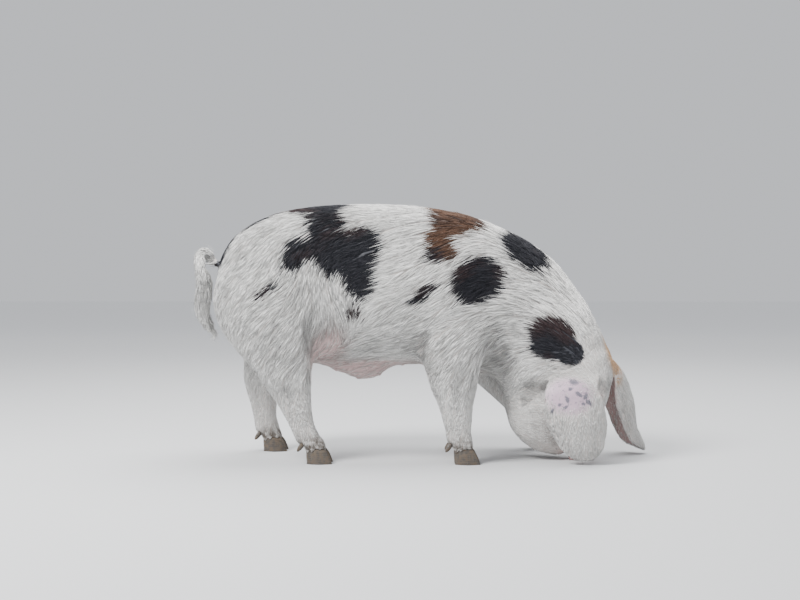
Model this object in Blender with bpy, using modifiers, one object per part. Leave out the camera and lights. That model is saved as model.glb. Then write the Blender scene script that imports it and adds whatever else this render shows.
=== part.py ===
"""A life-size, still model of a spotted lop-eared pig that roots with its snout on the ground.

Metres. +X points towards the head, +Y to the pig's left, +Z up; the floor is z = 0.
The flesh is modelled whole from lofted forms that are fused by a voxel remesh, shaped, thinned
and then parted by thin cuts into the named parts. Claws and eyes are separate solids.
"""

import math

import bmesh
import bpy
import numpy as np
from mathutils import Matrix, Vector
from mathutils.bvhtree import BVHTree

# ---------------------------------------------------------------- driving dimensions
MIDDLE_X = 0.0076  # where the middle of the model's length lies in the numbers below
FUSE_VOXEL = 0.0045  # voxel that fuses the forms
FORM_SMOOTHING = 8  # passes that soften the whole form
BODY_SMOOTHING = 160  # further passes where the legs join the body
FLESH_TRIANGLES = 4300  # what the fused form is thinned to
CUT = 0.0007  # width of the thin cuts between the parts
FIT_GAP = 0.0004  # gap round an eye or a claw
EYE_RADIUS = 0.0122
HEAD_TURN = math.radians(15)  # the face is turned to the pig's right
HEAD_SHIFT = -0.036  # and carried to that side
TURN_CENTRE = Vector((0.42, 0.0))

# ---------------------------------------------------------------- tables of sections
# Sections of trunk and neck in the plane of symmetry:
# top x, top z, bottom x, bottom z, half width, egg (wider above when positive)
TRUNK = [
    (-0.644, 0.610, -0.644, 0.500, 0.045, 0.00),  # tail head
    (-0.630, 0.642, -0.632, 0.450, 0.085, 0.00),
    (-0.600, 0.690, -0.612, 0.375, 0.125, 0.00),
    (-0.541, 0.737, -0.556, 0.325, 0.160, 0.02),  # rump
    (-0.450, 0.776, -0.460, 0.300, 0.183, 0.02),
    (-0.351, 0.794, -0.355, 0.291, 0.190, 0.00),  # loin and flank
    (-0.256, 0.801, -0.256, 0.288, 0.198, -0.03),
    (-0.161, 0.802, -0.161, 0.284, 0.207, -0.05),  # belly
    (-0.066, 0.801, -0.066, 0.286, 0.209, -0.05),
    (0.028, 0.791, 0.018, 0.287, 0.202, -0.03),
    (0.123, 0.775, 0.098, 0.279, 0.192, 0.00),  # shoulders
    (0.187, 0.756, 0.148, 0.268, 0.184, 0.00),
    (0.250, 0.731, 0.186, 0.259, 0.174, 0.00),
    (0.313, 0.703, 0.212, 0.252, 0.163, 0.00),  # neck
    (0.377, 0.661, 0.230, 0.246, 0.154, -0.02),
    (0.428, 0.621, 0.241, 0.239, 0.148, -0.04),
    (0.478, 0.555, 0.248, 0.228, 0.143, -0.06),
    (0.525, 0.485, 0.252, 0.210, 0.139, -0.08),
    (0.562, 0.410, 0.255, 0.184, 0.134, -0.08),
    (0.585, 0.345, 0.262, 0.150, 0.126, -0.06),  # poll and throat
]
CRANIUM = [
    (0.588, 0.350, 0.370, 0.225, 0.112, 0.00),
    (0.607, 0.290, 0.352, 0.180, 0.112, 0.04),  # forehead
    (0.603, 0.236, 0.365, 0.130, 0.103, 0.08),  # brow
    (0.586, 0.180, 0.392, 0.098, 0.082, 0.05),
    (0.569, 0.132, 0.418, 0.074, 0.062, 0.00),  # bridge
    (0.557, 0.090, 0.440, 0.055, 0.051, 0.00),
    (0.549, 0.052, 0.457, 0.036, 0.0455, 0.00),
    (0.546, 0.024, 0.463, 0.018, 0.0430, 0.00),
    (0.549, 0.008, 0.462, 0.006, 0.0455, 0.00),  # rim of the snout
    (0.546, -0.020, 0.466, -0.020, 0.0440, 0.00),
]
JAW = [
    (0.500, 0.265, 0.266, 0.165, 0.112, -0.05),
    (0.505, 0.218, 0.274, 0.120, 0.113, -0.05),  # jowl
    (0.510, 0.174, 0.290, 0.087, 0.104, -0.05),
    (0.508, 0.134, 0.320, 0.058, 0.085, -0.05),
    (0.502, 0.104, 0.352, 0.038, 0.065, -0.05),
    (0.496, 0.078, 0.384, 0.025, 0.049, 0.00),
    (0.488, 0.056, 0.412, 0.016, 0.037, 0.00),
    (0.478, 0.038, 0.434, 0.010, 0.027, 0.00),  # chin
]
# Sections of the legs, from the top down: x, y (distance from the middle), z, half length, half width
FORE_RIGHT = [
    (0.100, 0.070, 0.580, 0.080, 0.070),
    (0.102, 0.096, 0.500, 0.105, 0.078),
    (0.098, 0.118, 0.420, 0.116, 0.076),  # shoulder
    (0.092, 0.134, 0.345, 0.106, 0.069),  # elbow
    (0.092, 0.142, 0.300, 0.094, 0.061),
    (0.096, 0.147, 0.250, 0.080, 0.053),
    (0.101, 0.149, 0.200, 0.063, 0.046),
    (0.105, 0.150, 0.165, 0.053, 0.042),
    (0.109, 0.150, 0.135, 0.048, 0.042),  # knee
    (0.111, 0.150, 0.105, 0.041, 0.036),
    (0.114, 0.150, 0.078, 0.041, 0.037),  # fetlock
    (0.120, 0.150, 0.058, 0.042, 0.040),
]
FORE_LEFT = [
    (0.110, 0.070, 0.580, 0.080, 0.070),
    (0.118, 0.096, 0.500, 0.105, 0.078),
    (0.134, 0.120, 0.420, 0.110, 0.076),
    (0.160, 0.141, 0.345, 0.096, 0.068),
    (0.186, 0.155, 0.300, 0.084, 0.059),
    (0.222, 0.166, 0.250, 0.072, 0.051),
    (0.266, 0.173, 0.200, 0.060, 0.045),
    (0.299, 0.176, 0.165, 0.053, 0.041),
    (0.328, 0.177, 0.135, 0.049, 0.041),
    (0.355, 0.177, 0.105, 0.041, 0.036),
    (0.377, 0.177, 0.078, 0.041, 0.037),
    (0.392, 0.177, 0.058, 0.042, 0.040),
]
HIND_RIGHT = [
    (-0.490, 0.075, 0.620, 0.105, 0.080),
    (-0.488, 0.095, 0.560, 0.148, 0.092),
    (-0.480, 0.105, 0.500, 0.168, 0.098),  # ham
    (-0.466, 0.114, 0.430, 0.166, 0.092),
    (-0.450, 0.122, 0.370, 0.146, 0.080),  # stifle
    (-0.436, 0.128, 0.320, 0.118, 0.068),
    (-0.423, 0.131, 0.280, 0.094, 0.057),
    (-0.411, 0.133, 0.240, 0.076, 0.048),
    (-0.397, 0.134, 0.200, 0.062, 0.042),  # hock
    (-0.384, 0.135, 0.165, 0.049, 0.038),
    (-0.368, 0.136, 0.120, 0.040, 0.034),
    (-0.352, 0.137, 0.085, 0.040, 0.036),  # fetlock
    (-0.338, 0.138, 0.058, 0.042, 0.039),
]
HIND_LEFT = [
    (-0.490, 0.075, 0.620, 0.105, 0.080),
    (-0.488, 0.095, 0.560, 0.148, 0.092),
    (-0.478, 0.105, 0.500, 0.165, 0.098),
    (-0.466, 0.114, 0.430, 0.160, 0.092),
    (-0.462, 0.122, 0.370, 0.136, 0.080),
    (-0.478, 0.129, 0.320, 0.108, 0.067),
    (-0.496, 0.133, 0.280, 0.086, 0.055),
    (-0.512, 0.136, 0.240, 0.070, 0.047),
    (-0.519, 0.138, 0.200, 0.056, 0.041),
    (-0.515, 0.140, 0.165, 0.046, 0.037),
    (-0.511, 0.141, 0.120, 0.039, 0.034),
    (-0.505, 0.142, 0.085, 0.040, 0.036),
    (-0.497, 0.142, 0.058, 0.042, 0.039),
]
# The ears' middle lines from root to tip:
# x, y, z, heading of the width, half width, depth of the cup, half thickness
EAR_RIGHT = [
    (0.500, -0.080, 0.268, 0, 0.045, 0.004, 0.020),
    (0.490, -0.128, 0.280, 0, 0.058, 0.008, 0.014),
    (0.470, -0.170, 0.266, 0, 0.074, 0.014, 0.009),
    (0.458, -0.197, 0.236, 0, 0.087, 0.020, 0.0070),
    (0.456, -0.209, 0.200, 0, 0.092, 0.024, 0.0065),
    (0.460, -0.213, 0.160, 0, 0.093, 0.026, 0.0065),
    (0.468, -0.212, 0.118, 0, 0.088, 0.026, 0.0062),
    (0.472, -0.207, 0.080, 0, 0.072, 0.022, 0.0060),
    (0.478, -0.200, 0.048, 0, 0.055, 0.016, 0.0058),
    (0.484, -0.193, 0.026, 0, 0.034, 0.008, 0.0054),
    (0.488, -0.189, 0.012, 0, 0.012, 0.001, 0.0045),
]
EAR_LEFT = [
    (0.535, 0.020, 0.290, 92, 0.040, 0.010, 0.020),
    (0.588, 0.044, 0.306, 94, 0.052, 0.026, 0.014),
    (0.632, 0.062, 0.282, 96, 0.060, 0.048, 0.009),
    (0.661, 0.072, 0.236, 98, 0.063, 0.068, 0.0070),
    (0.679, 0.076, 0.187, 99, 0.062, 0.078, 0.0065),
    (0.687, 0.076, 0.155, 99, 0.060, 0.079, 0.0065),
    (0.689, 0.075, 0.122, 99, 0.056, 0.069, 0.0062),
    (0.694, 0.074, 0.086, 100, 0.050, 0.057, 0.0060),
    (0.706, 0.072, 0.058, 100, 0.042, 0.048, 0.0058),
    (0.716, 0.070, 0.038, 100, 0.031, 0.034, 0.0056),
    (0.722, 0.069, 0.020, 100, 0.018, 0.016, 0.0052),
    (0.724, 0.068, 0.011, 100, 0.007, 0.002, 0.0045),
]
# The tail's line with its curl and switch: x, y, z, radius
TAIL = [
    (-0.615, 0.006, 0.592, 0.024),
    (-0.644, 0.012, 0.606, 0.020),
    (-0.661, 0.018, 0.624, 0.0160),
    (-0.674, 0.019, 0.640, 0.0150),
    (-0.689, 0.011, 0.645, 0.0145),
    (-0.699, -0.002, 0.629, 0.0140),
    (-0.695, -0.015, 0.604, 0.0145),
    (-0.686, -0.021, 0.580, 0.0155),
    (-0.681, -0.021, 0.550, 0.0175),
    (-0.681, -0.018, 0.515, 0.0195),
    (-0.684, -0.015, 0.480, 0.0210),
    (-0.680, -0.012, 0.450, 0.0195),
    (-0.669, -0.010, 0.424, 0.0150),
    (-0.656, -0.008, 0.402, 0.0100),
    (-0.646, -0.006, 0.384, 0.0050),
]
UDDER = [  # one side of the slack skin under the belly: x, distance from the middle, z, radius
    (-0.350, 0.030, 0.325, 0.026),
    (-0.290, 0.036, 0.312, 0.034),
    (-0.225, 0.038, 0.296, 0.044),
    (-0.168, 0.036, 0.286, 0.048),
    (-0.125, 0.036, 0.300, 0.040),
    (-0.090, 0.034, 0.325, 0.026),
]
# Where each foot stands: x, y of the middle between its two claws
FEET = {
    "fore_right": (0.124, -0.150),
    "fore_left": (0.398, 0.177),
    "hind_right": (-0.326, -0.138),
    "hind_left": (-0.488, 0.142),
}
EYE_LEVEL = (0.532, 0.0, 0.187)  # inside the head, before it is turned
EYE_LOOK = (0.42, 1.0, 0.12)  # and the way to the left eye from there
EYE_DEPTH = 0.0066  # how far the middle of an eye lies under the surface

FLESH = (0.62, 0.60, 0.56, 1.0)
EAR_SKIN = (0.66, 0.52, 0.50, 1.0)
SNOUT_SKIN = (0.60, 0.42, 0.40, 1.0)
HORN = (0.16, 0.13, 0.10, 1.0)
EYE_BROWN = (0.05, 0.03, 0.02, 1.0)


# ---------------------------------------------------------------- small helpers
def smooth_rows(rows, per_span):
    """Catmull-Rom rows through the given rows, with per_span steps between each two."""
    rows = np.array(rows, float)
    padded = np.vstack([2 * rows[0] - rows[1], rows, 2 * rows[-1] - rows[-2]])
    found = []
    for a, b, c, d in zip(padded[:-3], padded[1:-2], padded[2:-1], padded[3:]):
        for t in np.arange(per_span) / per_span:
            cubic = 3 * b - a - 3 * c + d
            found.append(0.5 * (2 * b + (c - a) * t + (2 * a - 5 * b + 4 * c - d) * t**2 + cubic * t**3))
    return np.array(found + [rows[-1]])


def soft_power(value, power):
    return math.copysign(abs(value) ** power, value)


def smooth_step(value):
    t = np.clip(value, 0.0, 1.0)
    return t * t * (3 - 2 * t)


def turn_head(point):
    """Carries a point of neck or head to where the turned head has it. The shoulders stay."""
    x, y, z = point
    along = (x - 0.26) * 0.70 + (0.48 - z) * 0.71
    share = float(smooth_step(along / 0.28))
    turned = Matrix.Rotation(-HEAD_TURN * share, 2) @ Vector((x - TURN_CENTRE.x, y))
    return Vector((turned.x + TURN_CENTRE.x, turned.y + HEAD_SHIFT * share, z))


def link(name, mesh, colour=FLESH, roughness=0.75):
    material = bpy.data.materials.new(name)
    material.use_nodes = True
    shader = material.node_tree.nodes["Principled BSDF"]
    shader.inputs["Base Color"].default_value = colour
    shader.inputs["Roughness"].default_value = roughness
    mesh.materials.clear()
    mesh.materials.append(material)
    obj = bpy.data.objects.new(name, mesh)
    PIG.objects.link(obj)
    return obj


def mesh_of(bm, name):
    mesh = bpy.data.meshes.new(name)
    bm.to_mesh(mesh)
    bm.free()
    return mesh


def evaluated_mesh(obj):
    graph = bpy.context.evaluated_depsgraph_get()
    mesh = bpy.data.meshes.new_from_object(obj.evaluated_get(graph), depsgraph=graph)
    old = obj.data
    bpy.data.objects.remove(obj)
    if old.users == 0 and isinstance(old, bpy.types.Mesh):
        bpy.data.meshes.remove(old)
    return mesh


# ---------------------------------------------------------------- lofts
def loft(places, sides=28):
    """A closed bmesh through rings. Each item of places is a function from an angle to a point."""
    bm = bmesh.new()
    turn = bm.verts.layers.float.new("turn")
    ring = bmesh.ops.create_circle(bm, cap_ends=True, segments=sides, radius=1.0)["verts"]
    for k, vertex in enumerate(ring):
        vertex[turn] = math.tau * k / sides
        vertex.co = places[0](vertex[turn])
    edges = list(bm.edges)
    for place in places[1:]:
        made = bmesh.ops.extrude_edge_only(bm, edges=edges)["geom"]
        ring = {g for g in made if isinstance(g, bmesh.types.BMVert)}
        edges = [g for g in made if isinstance(g, bmesh.types.BMEdge) and set(g.verts) <= ring]
        for vertex in ring:
            vertex.co = place(vertex[turn])
    bmesh.ops.holes_fill(bm, edges=edges, sides=0)
    bmesh.ops.recalc_face_normals(bm, faces=bm.faces)
    return bm


def profile_place(row, grow=0.0):
    """A section that stands across the plane of symmetry, from its top point to its bottom point."""
    top, bottom = Vector((row[0], 0, row[1])), Vector((row[2], 0, row[3]))
    centre, up = (top + bottom) / 2, (top - bottom) / 2
    up += up.normalized() * grow
    half_width, egg = row[4] + grow, row[5]

    def place(angle):
        side = half_width * (1 + egg * math.sin(angle)) * soft_power(math.cos(angle), 0.90)
        return turn_head(centre + up * soft_power(math.sin(angle), 0.90) + Vector((0, side, 0)))

    return place


def level_place(row, side):
    """A level section of a leg."""
    x, y, z, half_length, half_width = row

    def place(angle):
        forward = half_length * soft_power(math.sin(angle), 0.85)
        across = half_width * soft_power(math.cos(angle), 0.85)
        return Vector((x + forward, side * y + across, z))

    return place


def ear_places(rows, per_span=4):
    """Cupped, leaf-shaped sections along the ear's middle line."""
    rows = smooth_rows(rows, per_span)
    lines = np.gradient(rows[:, :3], axis=0)
    places = []
    for row, line in zip(rows, lines):
        heading = math.radians(row[3])
        across = Vector((math.cos(heading), math.sin(heading), 0))
        outward = Vector(line).cross(across).normalized()
        across = outward.cross(Vector(line)).normalized()

        def place(angle, row=row, across=across, outward=outward):
            half_width, cup, thickness = row[4:]
            over = math.cos(angle)
            wall = (outward + across * (2 * cup * over / half_width)).normalized()
            middle = across * half_width * over - outward * cup * over**2
            return Vector(row[:3]) + middle + wall * thickness * soft_power(math.sin(angle), 0.7)

        places.append(place)
    return places


def tube(rows, per_span=5):
    """A round form along a line, made as a bevelled curve and turned into a mesh."""
    curve = bpy.data.curves.new("tube", "CURVE")
    curve.dimensions = "3D"
    curve.bevel_depth = 1.0
    curve.bevel_resolution = 4
    curve.use_fill_caps = True
    points = smooth_rows(rows, per_span)
    spline = curve.splines.new("POLY")
    spline.points.add(len(points) - 1)
    for point, row in zip(spline.points, points):
        point.co = (*row[:3], 1.0)
        point.radius = row[3]
    guide = bpy.data.objects.new("tube", curve)
    PIG.objects.link(guide)
    bm = bmesh.new()
    bm.from_mesh(evaluated_mesh(guide))
    bmesh.ops.remove_doubles(bm, verts=bm.verts, dist=0.00001)
    return bm


# ---------------------------------------------------------------- feet
def digit_rows(foot, side):
    """The fleshy end of one toe, from the pastern down to the claw."""
    x, y = FEET[foot]
    return [
        (x - 0.006, y + side * 0.010, 0.075, 0.032, 0.020),
        (x + 0.000, y + side * 0.017, 0.052, 0.034, 0.021),
        (x + 0.005, y + side * 0.020, 0.034, 0.033, 0.019),
        (x + 0.006, y + side * 0.020, 0.024, 0.028, 0.015),
    ]


def claw(foot, side, grow=0.0):
    """One of the two hoofed toes: upright wall, pointed in front, flat sole on the floor."""
    x, y = FEET[foot]
    rows = [
        # x, out, z, half length, half width
        (x + 0.001, 0.0190, 0.048 + grow, 0.024, 0.014),
        (x + 0.005, 0.0195, 0.042 + grow, 0.033, 0.0185),
        (x + 0.009, 0.0205, 0.028, 0.037, 0.0195),
        (x + 0.013, 0.0215, 0.012, 0.040, 0.0200),
        (x + 0.015, 0.0220, 0.000 - 4 * grow, 0.041, 0.0200),
    ]
    places = []
    for cx, out, z, half_length, half_width in rows:

        def place(angle, cx=cx, out=out, z=z, long=half_length + grow, wide=half_width + grow):
            forward = math.sin(angle)
            inner = 0.80 if side * math.cos(angle) < 0 else 1.0
            pointed = 1 - 0.42 * max(0.0, forward) ** 1.5
            across = wide * soft_power(math.cos(angle), 0.85) * pointed * inner
            splay = 0.10 * (long * forward) * side
            return Vector((cx + long * forward, y + side * out + across + splay, z))

        places.append(place)
    return loft(places, 10)


def dewclaw(foot, side, grow=0.0):
    """The small claw behind and above the heel."""
    x, y = FEET[foot]
    root = Vector((x - 0.034, y + side * 0.022, 0.063))
    tip = Vector((x - 0.052, y + side * 0.028, 0.038))
    line = (tip - root).normalized()
    across = line.cross(Vector((0, 0, 1))).normalized()
    deep = line.cross(across)
    places = []
    for share, radius in ((0.0, 0.0075), (0.35, 0.0098), (0.75, 0.0075), (1.0, 0.0030)):
        centre = root.lerp(tip, share) + line * (grow * (2 * share - 1))

        def place(angle, centre=centre, radius=radius + grow):
            return centre + across * radius * 0.85 * math.cos(angle) + deep * radius * math.sin(angle)

        places.append(place)
    return loft(places, 6)


# ---------------------------------------------------------------- the fused flesh
def body_forms():
    """Trunk, neck, head, udder and legs."""
    made = [loft([profile_place(row) for row in smooth_rows(table, 3)], 40) for table in (TRUNK, CRANIUM, JAW)]
    for table, side in ((FORE_RIGHT, -1), (FORE_LEFT, 1), (HIND_RIGHT, -1), (HIND_LEFT, 1)):
        made.append(loft([level_place(row, side) for row in smooth_rows(table, 3)]))
    for side in (-1, 1):
        made.append(tube([(x, side * y, z, radius) for x, y, z, radius in UDDER]))
        made += [loft([level_place(row, 1) for row in digit_rows(foot, side)], 20) for foot in FEET]
    return made


def joined(pieces):
    whole = bmesh.new()
    for bm in pieces:
        whole.from_mesh(mesh_of(bm, "piece"))
    return whole


def fused(pieces):
    """One closed skin round all the pieces."""
    obj = link("fused", mesh_of(joined(pieces), "fused"))
    remesh = obj.modifiers.new("fuse", "REMESH")
    remesh.mode = "VOXEL"
    remesh.voxel_size = FUSE_VOXEL
    return evaluated_mesh(obj)


def softened(mesh, passes, share=None):
    """Smooths the mesh, or only where the share of each vertex is above nothing."""
    obj = link("softened", mesh)
    soften = obj.modifiers.new("soften", "SMOOTH")
    soften.factor = 0.5
    soften.iterations = passes
    if share is not None:
        group = obj.vertex_groups.new(name="share")
        for index, weight in enumerate(share):
            group.add([index], float(weight), "REPLACE")
        soften.vertex_group = group.name
    return evaluated_mesh(obj)


def body_share(points):
    """1 on the body and the tops of the legs, less on the head, 0 on feet and snout."""
    x, z = points[:, 0], points[:, 2]
    feet = smooth_step((z - 0.17) / 0.12)
    head = smooth_step((0.7 * (x - 0.26) + 0.71 * (0.48 - z) - 0.10) / 0.12)
    face = 0.3 * smooth_step((z - 0.03) / 0.05)
    return feet * (1 - head) + face * head


def flesh():
    """The whole fused body with ears and tail, its joins softened and its forms shaped."""
    body = softened(fused(body_forms()), FORM_SMOOTHING)
    body = softened(body, BODY_SMOOTHING, body_share(read(body)))
    bm = bmesh.new()
    bm.from_mesh(body)
    ears = [loft(ear_places(table), 32) for table in (EAR_RIGHT, EAR_LEFT)]
    return shape_flesh(softened(fused([bm, tube(TAIL)] + ears), FORM_SMOOTHING))


def read(mesh, what="co"):
    values = np.empty(len(mesh.vertices) * 3, np.float32)
    mesh.vertices.foreach_get(what, values)
    return values.reshape(-1, 3).astype(float)


def swell(points, normals, centre, radii, amount):
    """Raises the surface round a centre, or sinks it where the amount is negative."""
    reach = (points - np.array(centre)) / np.array(radii)
    return points + normals * (amount * np.exp(-(reach**2).sum(axis=1)))[:, None]


def groove(points, normals, line, width, depth):
    """Sinks the surface along a line of points."""
    line = smooth_rows(line, 6)
    nearest = np.full(len(points), 1e9)
    for a, b in zip(line[:-1], line[1:]):
        share = np.clip(((points - a) @ (b - a)) / max(float((b - a) @ (b - a)), 1e-12), 0, 1)
        nearest = np.minimum(nearest, np.linalg.norm(points - (a + share[:, None] * (b - a)), axis=1))
    return points - normals * (depth * np.exp(-((nearest / width) ** 2)))[:, None]


def mirrored(centre):
    return [centre, (centre[0], -centre[1], centre[2])]


def shape_flesh(mesh):
    """The muscle, fold and bone forms that the lofts leave out."""
    points, normals = read(mesh), read(mesh, "normal")
    for centre, radii, amount in (
        ((0.075, 0.19, 0.56), (0.10, 0.10, 0.13), 0.012),  # shoulder blade
        ((0.060, 0.20, 0.40), (0.07, 0.08, 0.08), 0.010),  # upper arm
        ((-0.470, 0.20, 0.50), (0.12, 0.10, 0.12), 0.010),  # ham
        ((-0.330, 0.20, 0.62), (0.10, 0.10, 0.10), -0.006),  # hollow before the hip
        ((-0.290, 0.19, 0.40), (0.06, 0.08, 0.08), -0.014),  # flank
        ((-0.120, 0.22, 0.45), (0.16, 0.10, 0.11), 0.008),  # belly side
        ((0.225, 0.17, 0.42), (0.05, 0.06, 0.10), 0.008),  # between shoulder and neck
        ((-0.640, 0.0, 0.50), (0.05, 0.022, 0.12), -0.020),  # cleft under the tail
    ):
        for place in mirrored(centre) if centre[1] else [centre]:
            points = swell(points, normals, place, radii, amount)
    for centre, radii, amount in (
        ((0.320, 0.11, 0.150), (0.060, 0.06, 0.050), 0.012),  # jowl
        ((0.430, 0.10, 0.160), (0.045, 0.05, 0.045), 0.008),  # cheek
        ((0.575, 0.065, 0.255), (0.030, 0.03, 0.025), 0.006),  # brow
        ((0.580, 0.00, 0.130), (0.025, 0.04, 0.040), -0.005),  # dish of the face
        ((0.487, 0.050, 0.105), (0.040, 0.02, 0.030), -0.004),  # hollow over the mouth
    ):
        for place in mirrored(centre) if centre[1] else [centre]:
            points = swell(points, normals, turn_head(place), radii, amount)
    for side in (-1, 1):
        mouth = [(0.452, 0.020 * side, 0.026), (0.452, 0.040 * side, 0.050), (0.444, 0.058 * side, 0.080)]
        points = groove(points, normals, [tuple(turn_head(p)) for p in mouth], 0.006, 0.004)
        nostril = turn_head((0.503, 0.017 * side, 0.000))
        points = swell(points, normals, nostril, (0.008, 0.007, 0.010), -0.010)
    mesh.vertices.foreach_set("co", points.astype(np.float32).ravel())
    mesh.update()
    return mesh


def thinned(mesh, triangles):
    obj = link("thinned", mesh)
    fewer = obj.modifiers.new("fewer", "DECIMATE")
    fewer.ratio = triangles / (2 * len(mesh.polygons))
    fewer.use_collapse_triangulate = True
    return evaluated_mesh(obj)


# ---------------------------------------------------------------- thin cuts
def plate(centre, along, half_long, half_wide, long_axis, power=1.0):
    """A thin elliptic plate across a limb: along is its normal. A lower power squares it."""
    along = Vector(along).normalized()
    first = (Vector(long_axis) - along * along.dot(Vector(long_axis))).normalized()
    second = along.cross(first)

    def ring(offset):
        def place(angle):
            lengthwise = first * half_long * soft_power(math.sin(angle), power)
            sideways = second * half_wide * soft_power(math.cos(angle), power)
            return Vector(centre) + lengthwise + sideways + along * offset

        return place

    return loft([ring(-CUT / 2), ring(CUT / 2)], 20)


def profile_cut(top, bottom, half_wide, grow, power=1.0):
    """A flat plate across trunk or neck, between two points of the profile."""
    top, bottom = turn_head((top[0], 0, top[1])), turn_head((bottom[0], 0, bottom[1]))
    up = top - bottom
    along = Vector((up.y, -up.x, 0)).cross(up) if abs(up.y) > 1e-6 else Vector((up.z, 0, -up.x))
    return plate((top + bottom) / 2, along, up.length / 2 + grow, half_wide + grow, up, power)


def leg_cut(table, side, height):
    """A level plate through a leg at a height."""
    rows = smooth_rows(table, 3)
    x, y, _, half_length, half_width = rows[np.abs(rows[:, 2] - height).argmin()]
    return plate((x, side * y, height), (0, 0, 1), half_length + 0.025, half_width + 0.022, (1, 0, 0))


def ear_cut(rows, index):
    """A plate across an ear, where it leaves the head."""
    rows = smooth_rows(rows, 4)
    heading = math.radians(rows[index][3])
    ahead = rows[index + 1][:3] - rows[index - 1][:3]
    across = (math.cos(heading), math.sin(heading), 0)
    outward = Vector(ahead).cross(Vector(across)).normalized()
    centre = Vector(rows[index][:3]) - outward * rows[index][5] / 2
    return plate(centre, ahead, rows[index][4] + 0.020, rows[index][5] / 2 + 0.028, across)


def cutters(eyes):
    rhinarium = turn_head((0.506, 0, 0.0145))
    tail = smooth_rows(TAIL, 5)
    plates = [
        profile_cut((0.268, 0.723), (0.232, 0.246), 0.195, 0.024, 0.3),
        profile_cut((0.557, 0.407), (0.255, 0.184), 0.134, 0.022),
        plate(rhinarium, (0, 0, 1), 0.062, 0.062, (1, 0, 0)),
        plate(tail[8][:3], tail[9][:3] - tail[7][:3], 0.030, 0.030, (0, 1, 0)),
        ear_cut(EAR_RIGHT, 12),
        ear_cut(EAR_LEFT, 9),
    ]
    for table, side, heights in (
        (FORE_RIGHT, -1, (0.250, 0.138)),
        (FORE_LEFT, 1, (0.258, 0.138)),
        (HIND_RIGHT, -1, (0.266, 0.182)),
        (HIND_LEFT, 1, (0.260, 0.182)),
    ):
        plates += [leg_cut(table, side, height) for height in heights]
    claws = [make(foot, side, FIT_GAP) for foot in FEET for side in (-1, 1) for make in (claw, dewclaw)]
    return plates + [joined(claws), joined([ball(place, EYE_RADIUS + FIT_GAP) for place in eyes.values()])]


def ball(centre, radius):
    bm = bmesh.new()
    bmesh.ops.create_icosphere(bm, subdivisions=2, radius=radius, matrix=Matrix.Translation(centre))
    return bm


def floor_block():
    bm = bmesh.new()
    bmesh.ops.create_cube(bm, size=1.0, matrix=Matrix.Translation((0, 0, -0.5)) @ Matrix.Diagonal((4, 4, 1, 1)))
    return bm


def helper(name, bm):
    """An object that only cuts: it is left out of the model."""
    obj = bpy.data.objects.new(name, mesh_of(bm, name))
    obj.hide_render = True
    obj.display_type = "WIRE"
    CUTTERS.objects.link(obj)
    return obj


def part_flesh(mesh, eyes):
    """Cuts the flesh at the floor, round eyes and claws, and between its parts."""
    obj = link("flesh", mesh)
    for bm in [floor_block()] + cutters(eyes):
        cut = obj.modifiers.new("cut", "BOOLEAN")
        cut.operation = "DIFFERENCE"
        cut.object = helper("cutter", bm)
    return evaluated_mesh(obj)


def eye_places(mesh):
    """The middle of each eye, a little under the surface of the head."""
    tree = BVHTree.FromPolygons([v.co for v in mesh.vertices], [p.vertices for p in mesh.polygons])
    start = turn_head(EYE_LEVEL)
    found = {}
    for word, side in (("right", -1), ("left", 1)):
        look = turn_head(Vector(EYE_LEVEL) + Vector((EYE_LOOK[0], side * EYE_LOOK[1], EYE_LOOK[2]))) - start
        look.normalize()
        found[word] = tree.ray_cast(start, look)[0] - look * EYE_DEPTH
    return found


def islands(bm):
    """The separate closed pieces of a bmesh, as lists of faces, largest first."""
    left, found = set(bm.faces), []
    while left:
        todo = [left.pop()]
        piece = []
        while todo:
            face = todo.pop()
            piece.append(face)
            near = {f for v in face.verts for f in v.link_faces} & left
            left -= near
            todo += near
        found.append(piece)
    return sorted(found, key=len, reverse=True)


# A point near the middle of each part of the flesh
PART_PLACES = {
    "trunk": (-0.20, 0.0, 0.55),
    "neck": (0.38, 0.0, 0.44),
    "head": (0.46, -0.03, 0.17),
    "snout_disc": (0.50, -0.03, 0.006),
    "ear_right": (0.44, -0.19, 0.13),
    "ear_left": (0.66, 0.06, 0.14),
    "tail": (-0.69, 0.0, 0.53),
    "forearm_right": (0.098, -0.15, 0.20),
    "forearm_left": (0.27, 0.165, 0.19),
    "shank_right": (-0.408, -0.132, 0.225),
    "shank_left": (-0.512, 0.136, 0.222),
    "foot_fore_right": (0.113, -0.15, 0.085),
    "foot_fore_left": (0.340, 0.168, 0.085),
    "foot_hind_right": (-0.365, -0.136, 0.11),
    "foot_hind_left": (-0.509, 0.141, 0.11),
}


def name_parts(mesh):
    """Makes each separate piece of the cut flesh an object named for the nearest place."""
    bm = bmesh.new()
    bm.from_mesh(mesh)
    pieces = islands(bm)
    left = dict(PART_PLACES)
    for piece in pieces[: len(PART_PLACES)]:
        corners = [v.co for f in piece for v in f.verts]
        low = Vector(min(c[i] for c in corners) for i in range(3))
        high = Vector(max(c[i] for c in corners) for i in range(3))
        name = min(left, key=lambda n: (Vector(left[n]) - (low + high) / 2).length)
        del left[name]
        keep = set(piece)
        own = bm.copy()
        own.faces.ensure_lookup_table()
        drop = [own.faces[f.index] for f in bm.faces if f not in keep]
        bmesh.ops.delete(own, geom=drop, context="FACES")
        colour = EAR_SKIN if name.startswith("ear") else SNOUT_SKIN if name == "snout_disc" else FLESH
        link(name, mesh_of(own, name), colour)
    bm.free()
    if left or len(pieces) > len(PART_PLACES):
        raise RuntimeError(f"{len(pieces)} pieces were cut, and these parts have none: {sorted(left)}")


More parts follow.
